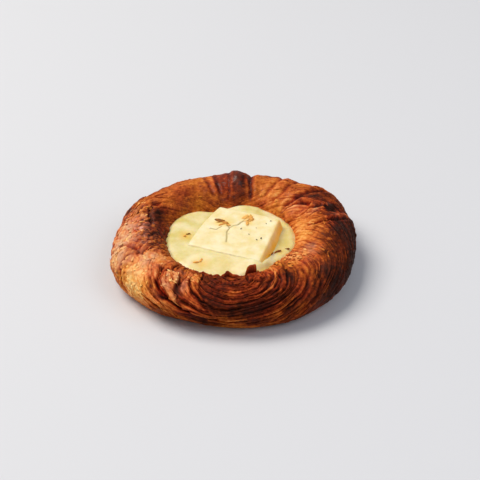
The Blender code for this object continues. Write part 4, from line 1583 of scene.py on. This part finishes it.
def make_slab():
    """The slab: a block with rounded edges, meshed finely enough for its cracks and dents."""
    sheet = bmesh.new()
    bmesh.ops.create_cube(sheet, size=1.0)
    bmesh.ops.subdivide_edges(sheet, edges=sheet.edges[:], cuts=7, use_grid_fill=True)
    for vertex in sheet.verts:
        x, y, z = vertex.co
        left, right = slab_edges(y * SLAB_BREADTH)
        bow = 1.3 * MM * (1 - (2 * y) ** 2) * smooth_step(-x, 0.0, 0.5)
        flare = SLAB_FLARE * (0.5 - z) * smooth_step(x, 0.2, 0.5) * flare_share(y)
        across = (left + right) / 2 + x * (right - left) - bow + flare
        vertex.co = (across, y * SLAB_BREADTH, z * SLAB_THICKNESS)
    mesh = bpy.data.meshes.new("cheese_block")
    sheet.to_mesh(mesh)
    sheet.free()
    block = place_object("cheese_block", mesh)
    rounding = block.modifiers.new("rounded_edges", "BEVEL")
    rounding.width = SLAB_EDGE
    rounding.segments = 5
    rounding.limit_method = "ANGLE"
    rounding.angle_limit = math.radians(50)
    evening = block.modifiers.new("fine_mesh", "REMESH")
    evening.mode = "VOXEL"
    evening.voxel_size = SLAB_MESH
    settling = block.modifiers.new("soft", "SMOOTH")
    settling.iterations = 8
    bpy.context.view_layer.update()
    evaluated = block.evaluated_get(bpy.context.evaluated_depsgraph_get())
    made = bpy.data.meshes.new_from_object(evaluated)
    bpy.data.objects.remove(block)

    local = np.array([vertex.co for vertex in made.vertices])
    normal = np.array([vertex.normal for vertex in made.vertices])
    x, y = local[:, 0] / MM, local[:, 1] / MM
    top = smooth_step(normal[:, 2], 0.2, 0.8)
    height = 0.22 * rough(local, 11 * MM, 41) + 0.09 * rough(local, 3.5 * MM, 42)
    height += 0.03 * rough(local, 1.2 * MM, 43)
    wander = 0.35 * rough(local, 3.0 * MM, 44)
    crack = np.zeros_like(x)
    for path in CRACKS:
        crack = np.maximum(crack, np.exp(-((path_distance(x + wander, y - wander, path) / CRACK_WIDTH) ** 2)))
    crack *= top
    height -= CRACK_DEPTH * crack
    local = local + normal * (height * MM)[:, None]
    toast = np.zeros_like(x)
    for spot_x, spot_y, reach, strength in SLAB_TOAST:
        toast = np.maximum(toast, top * strength * np.exp(-((np.hypot(x - spot_x, y - spot_y) / reach) ** 2)))
    # amber on the right side, more towards its foot: partly a browned skin, partly painted shade with warm
    # bounced light
    side_toast_and_shade = smooth_step(normal[:, 0], 0.1, 0.6) * (0.9 + 0.2 * rough(local, 6 * MM, 45))
    side_toast_and_shade *= 0.5 + 0.5 * smooth_step(-local[:, 2] / MM, -2.6, 0.0)
    toast = np.clip(np.maximum(toast, side_toast_and_shade), 0.0, 1.0)
    made.vertices.foreach_set("co", slab_world(local).ravel())
    write_values(made, {"toast": toast, "crack": crack})
    made.materials.clear()
    made.materials.append(soft_cheese())
    made.shade_smooth()
    return place_object("soft_cheese_slab", made)


# ---------------------------------------------------------------- shreds, specks and bits on the filling

BIT_LIFT = 0.35 * MM  # how far up one end of a bit is
BIT_THICKNESS = 0.10 * MM  # half of it
BIT_GAP = 0.12 * MM  # between the filling and the middle of a bit
BIT_BEND = 60 * MM  # radius


def bits_piece(name, rows, surface, seed):
    """Thin toasted plates on a surface function: x, y, length, breadth, direction and how dark each is."""
    rng = np.random.default_rng(seed)
    x, y, length, breadth, direction, dark = (np.array(column, float) for column in zip(*rows))
    origin, along, across, normal = surface(x * MM, y * MM, np.radians(direction))
    lift = np.full(len(x), BIT_LIFT)
    sizes = (length * MM, breadth * MM, lift, BIT_THICKNESS, BIT_BEND)
    body, faces, each = plate_body(origin + normal * BIT_GAP, along, across, normal, *sizes, rng)
    count = len(body)
    finish = {"browning": np.repeat(dark, each), "groove_and_shade": np.zeros(count), "hollow_shade": np.full(count, 0.5)}
    finish.update({"glaze": np.full(count, 0.4), "strand": np.full(count, 0.3)})
    finish.update({"across": body[:, 0] / MM, "along": body[:, 1] / MM, "golden": np.ones(count)})
    return piece_from(name, body, faces, finish)


def on_slab(x, y, direction):
    """Places and directions on the slab's top."""
    turn = np.array(SLAB_TURN.to_matrix())
    high = np.full_like(x, SLAB_THICKNESS / 2)
    origin = slab_world(np.stack([x, y, high], axis=-1))
    along = np.stack([np.cos(direction), np.sin(direction), np.zeros_like(x)], axis=-1) @ turn.T
    normal = np.repeat(turn[:, 2][None, :], len(x), axis=0)
    return origin, along, np.cross(normal, along), normal


def on_cream(x, y, direction):
    """Places and directions on the cream's top, at places on the finished pastry."""
    high = cream_height(x, y)
    origin = np.stack([x, y, high], axis=-1)
    along = np.stack([np.cos(direction), np.sin(direction), np.zeros_like(x)], axis=-1)
    normal = np.repeat(np.array([[0.0, 0.0, 1.0]]), len(x), axis=0)
    return origin, along, np.cross(normal, along), normal


def make_specks():
    """Dark specks pressed into the slab: small uneven grains."""
    rows = [(x, y, size * 1.3, size, 40 * index, 0.95) for index, (x, y, size) in enumerate(SLAB_SPECKS)]
    return bits_piece("dark_specks", rows, on_slab, 61)


# ---------------------------------------------------------------- camera, light and floor

VIEW_HEIGHT = math.radians(33.5)  # camera's elevation
VIEW_DISTANCE = 600 * MM
VIEW_WIDTH = 218.6 * MM  # shown at the pastry
VIEW_ASIDE = 3.0 * MM  # how far left of and below the middle of the view the pastry sits
VIEW_UP = 10 * MM  # height of the place looked at


# Lights: name, place, width, power in watts and tint
LIGHTS = (
    ("window", (-1.05, 0.36, 1.70), 1.3, 42.0, "#FFF8EE"),
    ("fill", (0.9, -0.5, 1.0), 0.9, 4.5, "#F8F6FF"),
)
ROOM_TINT = "#DFE2E6"
ROOM_LIGHT = 0.38
FLOOR_WIDTH = 3.0


def make_camera():
    """The camera, which looks down on the pastry from the front."""
    camera = place_object("camera", bpy.data.cameras.new("camera"))
    ahead = Vector((0.0, math.cos(VIEW_HEIGHT), -math.sin(VIEW_HEIGHT)))
    above = Vector((0.0, math.sin(VIEW_HEIGHT), math.cos(VIEW_HEIGHT)))
    aim = Vector((VIEW_ASIDE, 0.0, VIEW_UP)) + above * VIEW_ASIDE
    camera.location = aim - ahead * VIEW_DISTANCE
    camera.rotation_euler = ahead.to_track_quat("-Z", "Y").to_euler()
    camera.data.sensor_width = 36.0
    camera.data.lens = camera.data.sensor_width * VIEW_DISTANCE / VIEW_WIDTH
    camera.data.clip_start = 0.01
    bpy.context.scene.camera = camera


def make_light(name, place, size, power, tint):
    """A soft square light that points at the pastry."""
    light = bpy.data.lights.new(name, "AREA")
    light.size = size
    light.energy = power
    light.color = colour(tint)[:3]
    lamp = place_object(name, light)
    lamp.location = place
    lamp.rotation_euler = (-Vector(place)).to_track_quat("-Z", "Y").to_euler()


def make_stage():
    """Plain pale floor, soft lights and an even room."""
    bpy.ops.mesh.primitive_plane_add(size=FLOOR_WIDTH)
    floor = bpy.context.active_object
    floor.name = "floor"
    floor.data.materials.append(pale_floor())
    for light in LIGHTS:
        make_light(*light)
    world = bpy.data.worlds.new("room")
    bpy.context.scene.world = world
    world.use_nodes = True
    background = world.node_tree.nodes["Background"]
    wire(world.node_tree, background, {"Color": colour(ROOM_TINT), "Strength": ROOM_LIGHT})
    bpy.context.scene.view_settings.view_transform = "Standard"


def main():
    """Makes every piece, gives it its finish and tells the frame where it belongs."""
    crust = make_crust()
    crust_finish = crust.data.materials[0]
    for loose in (make_leaf_edges(), make_rim_flaps(), make_flakes()):
        loose.data.materials.append(crust_finish)
        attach(loose, "root")
    cream = make_cream()
    slab = make_slab()
    shreds = bits_piece("toasted_shreds", SLAB_SHREDS, on_slab, 62)
    bits = bits_piece("crust_bits", CREAM_BITS, on_cream, 63)
    for loose, finish, slot in (
        (shreds, toasted_cheese(), "cheese"),
        (bits, crust_finish, "crust"),
        (make_specks(), crust_finish, "crust"),
    ):
        loose.data.materials.append(finish)
        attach(loose, "root")
    for piece, node, slot in (
        (crust, "crust", "crust"),
        (cream, "cream", "cream"),
        (slab, "cheese_slab", "cheese"),
    ):
        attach(piece, "root")
        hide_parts(node)
    make_camera()
    make_stage()


main()
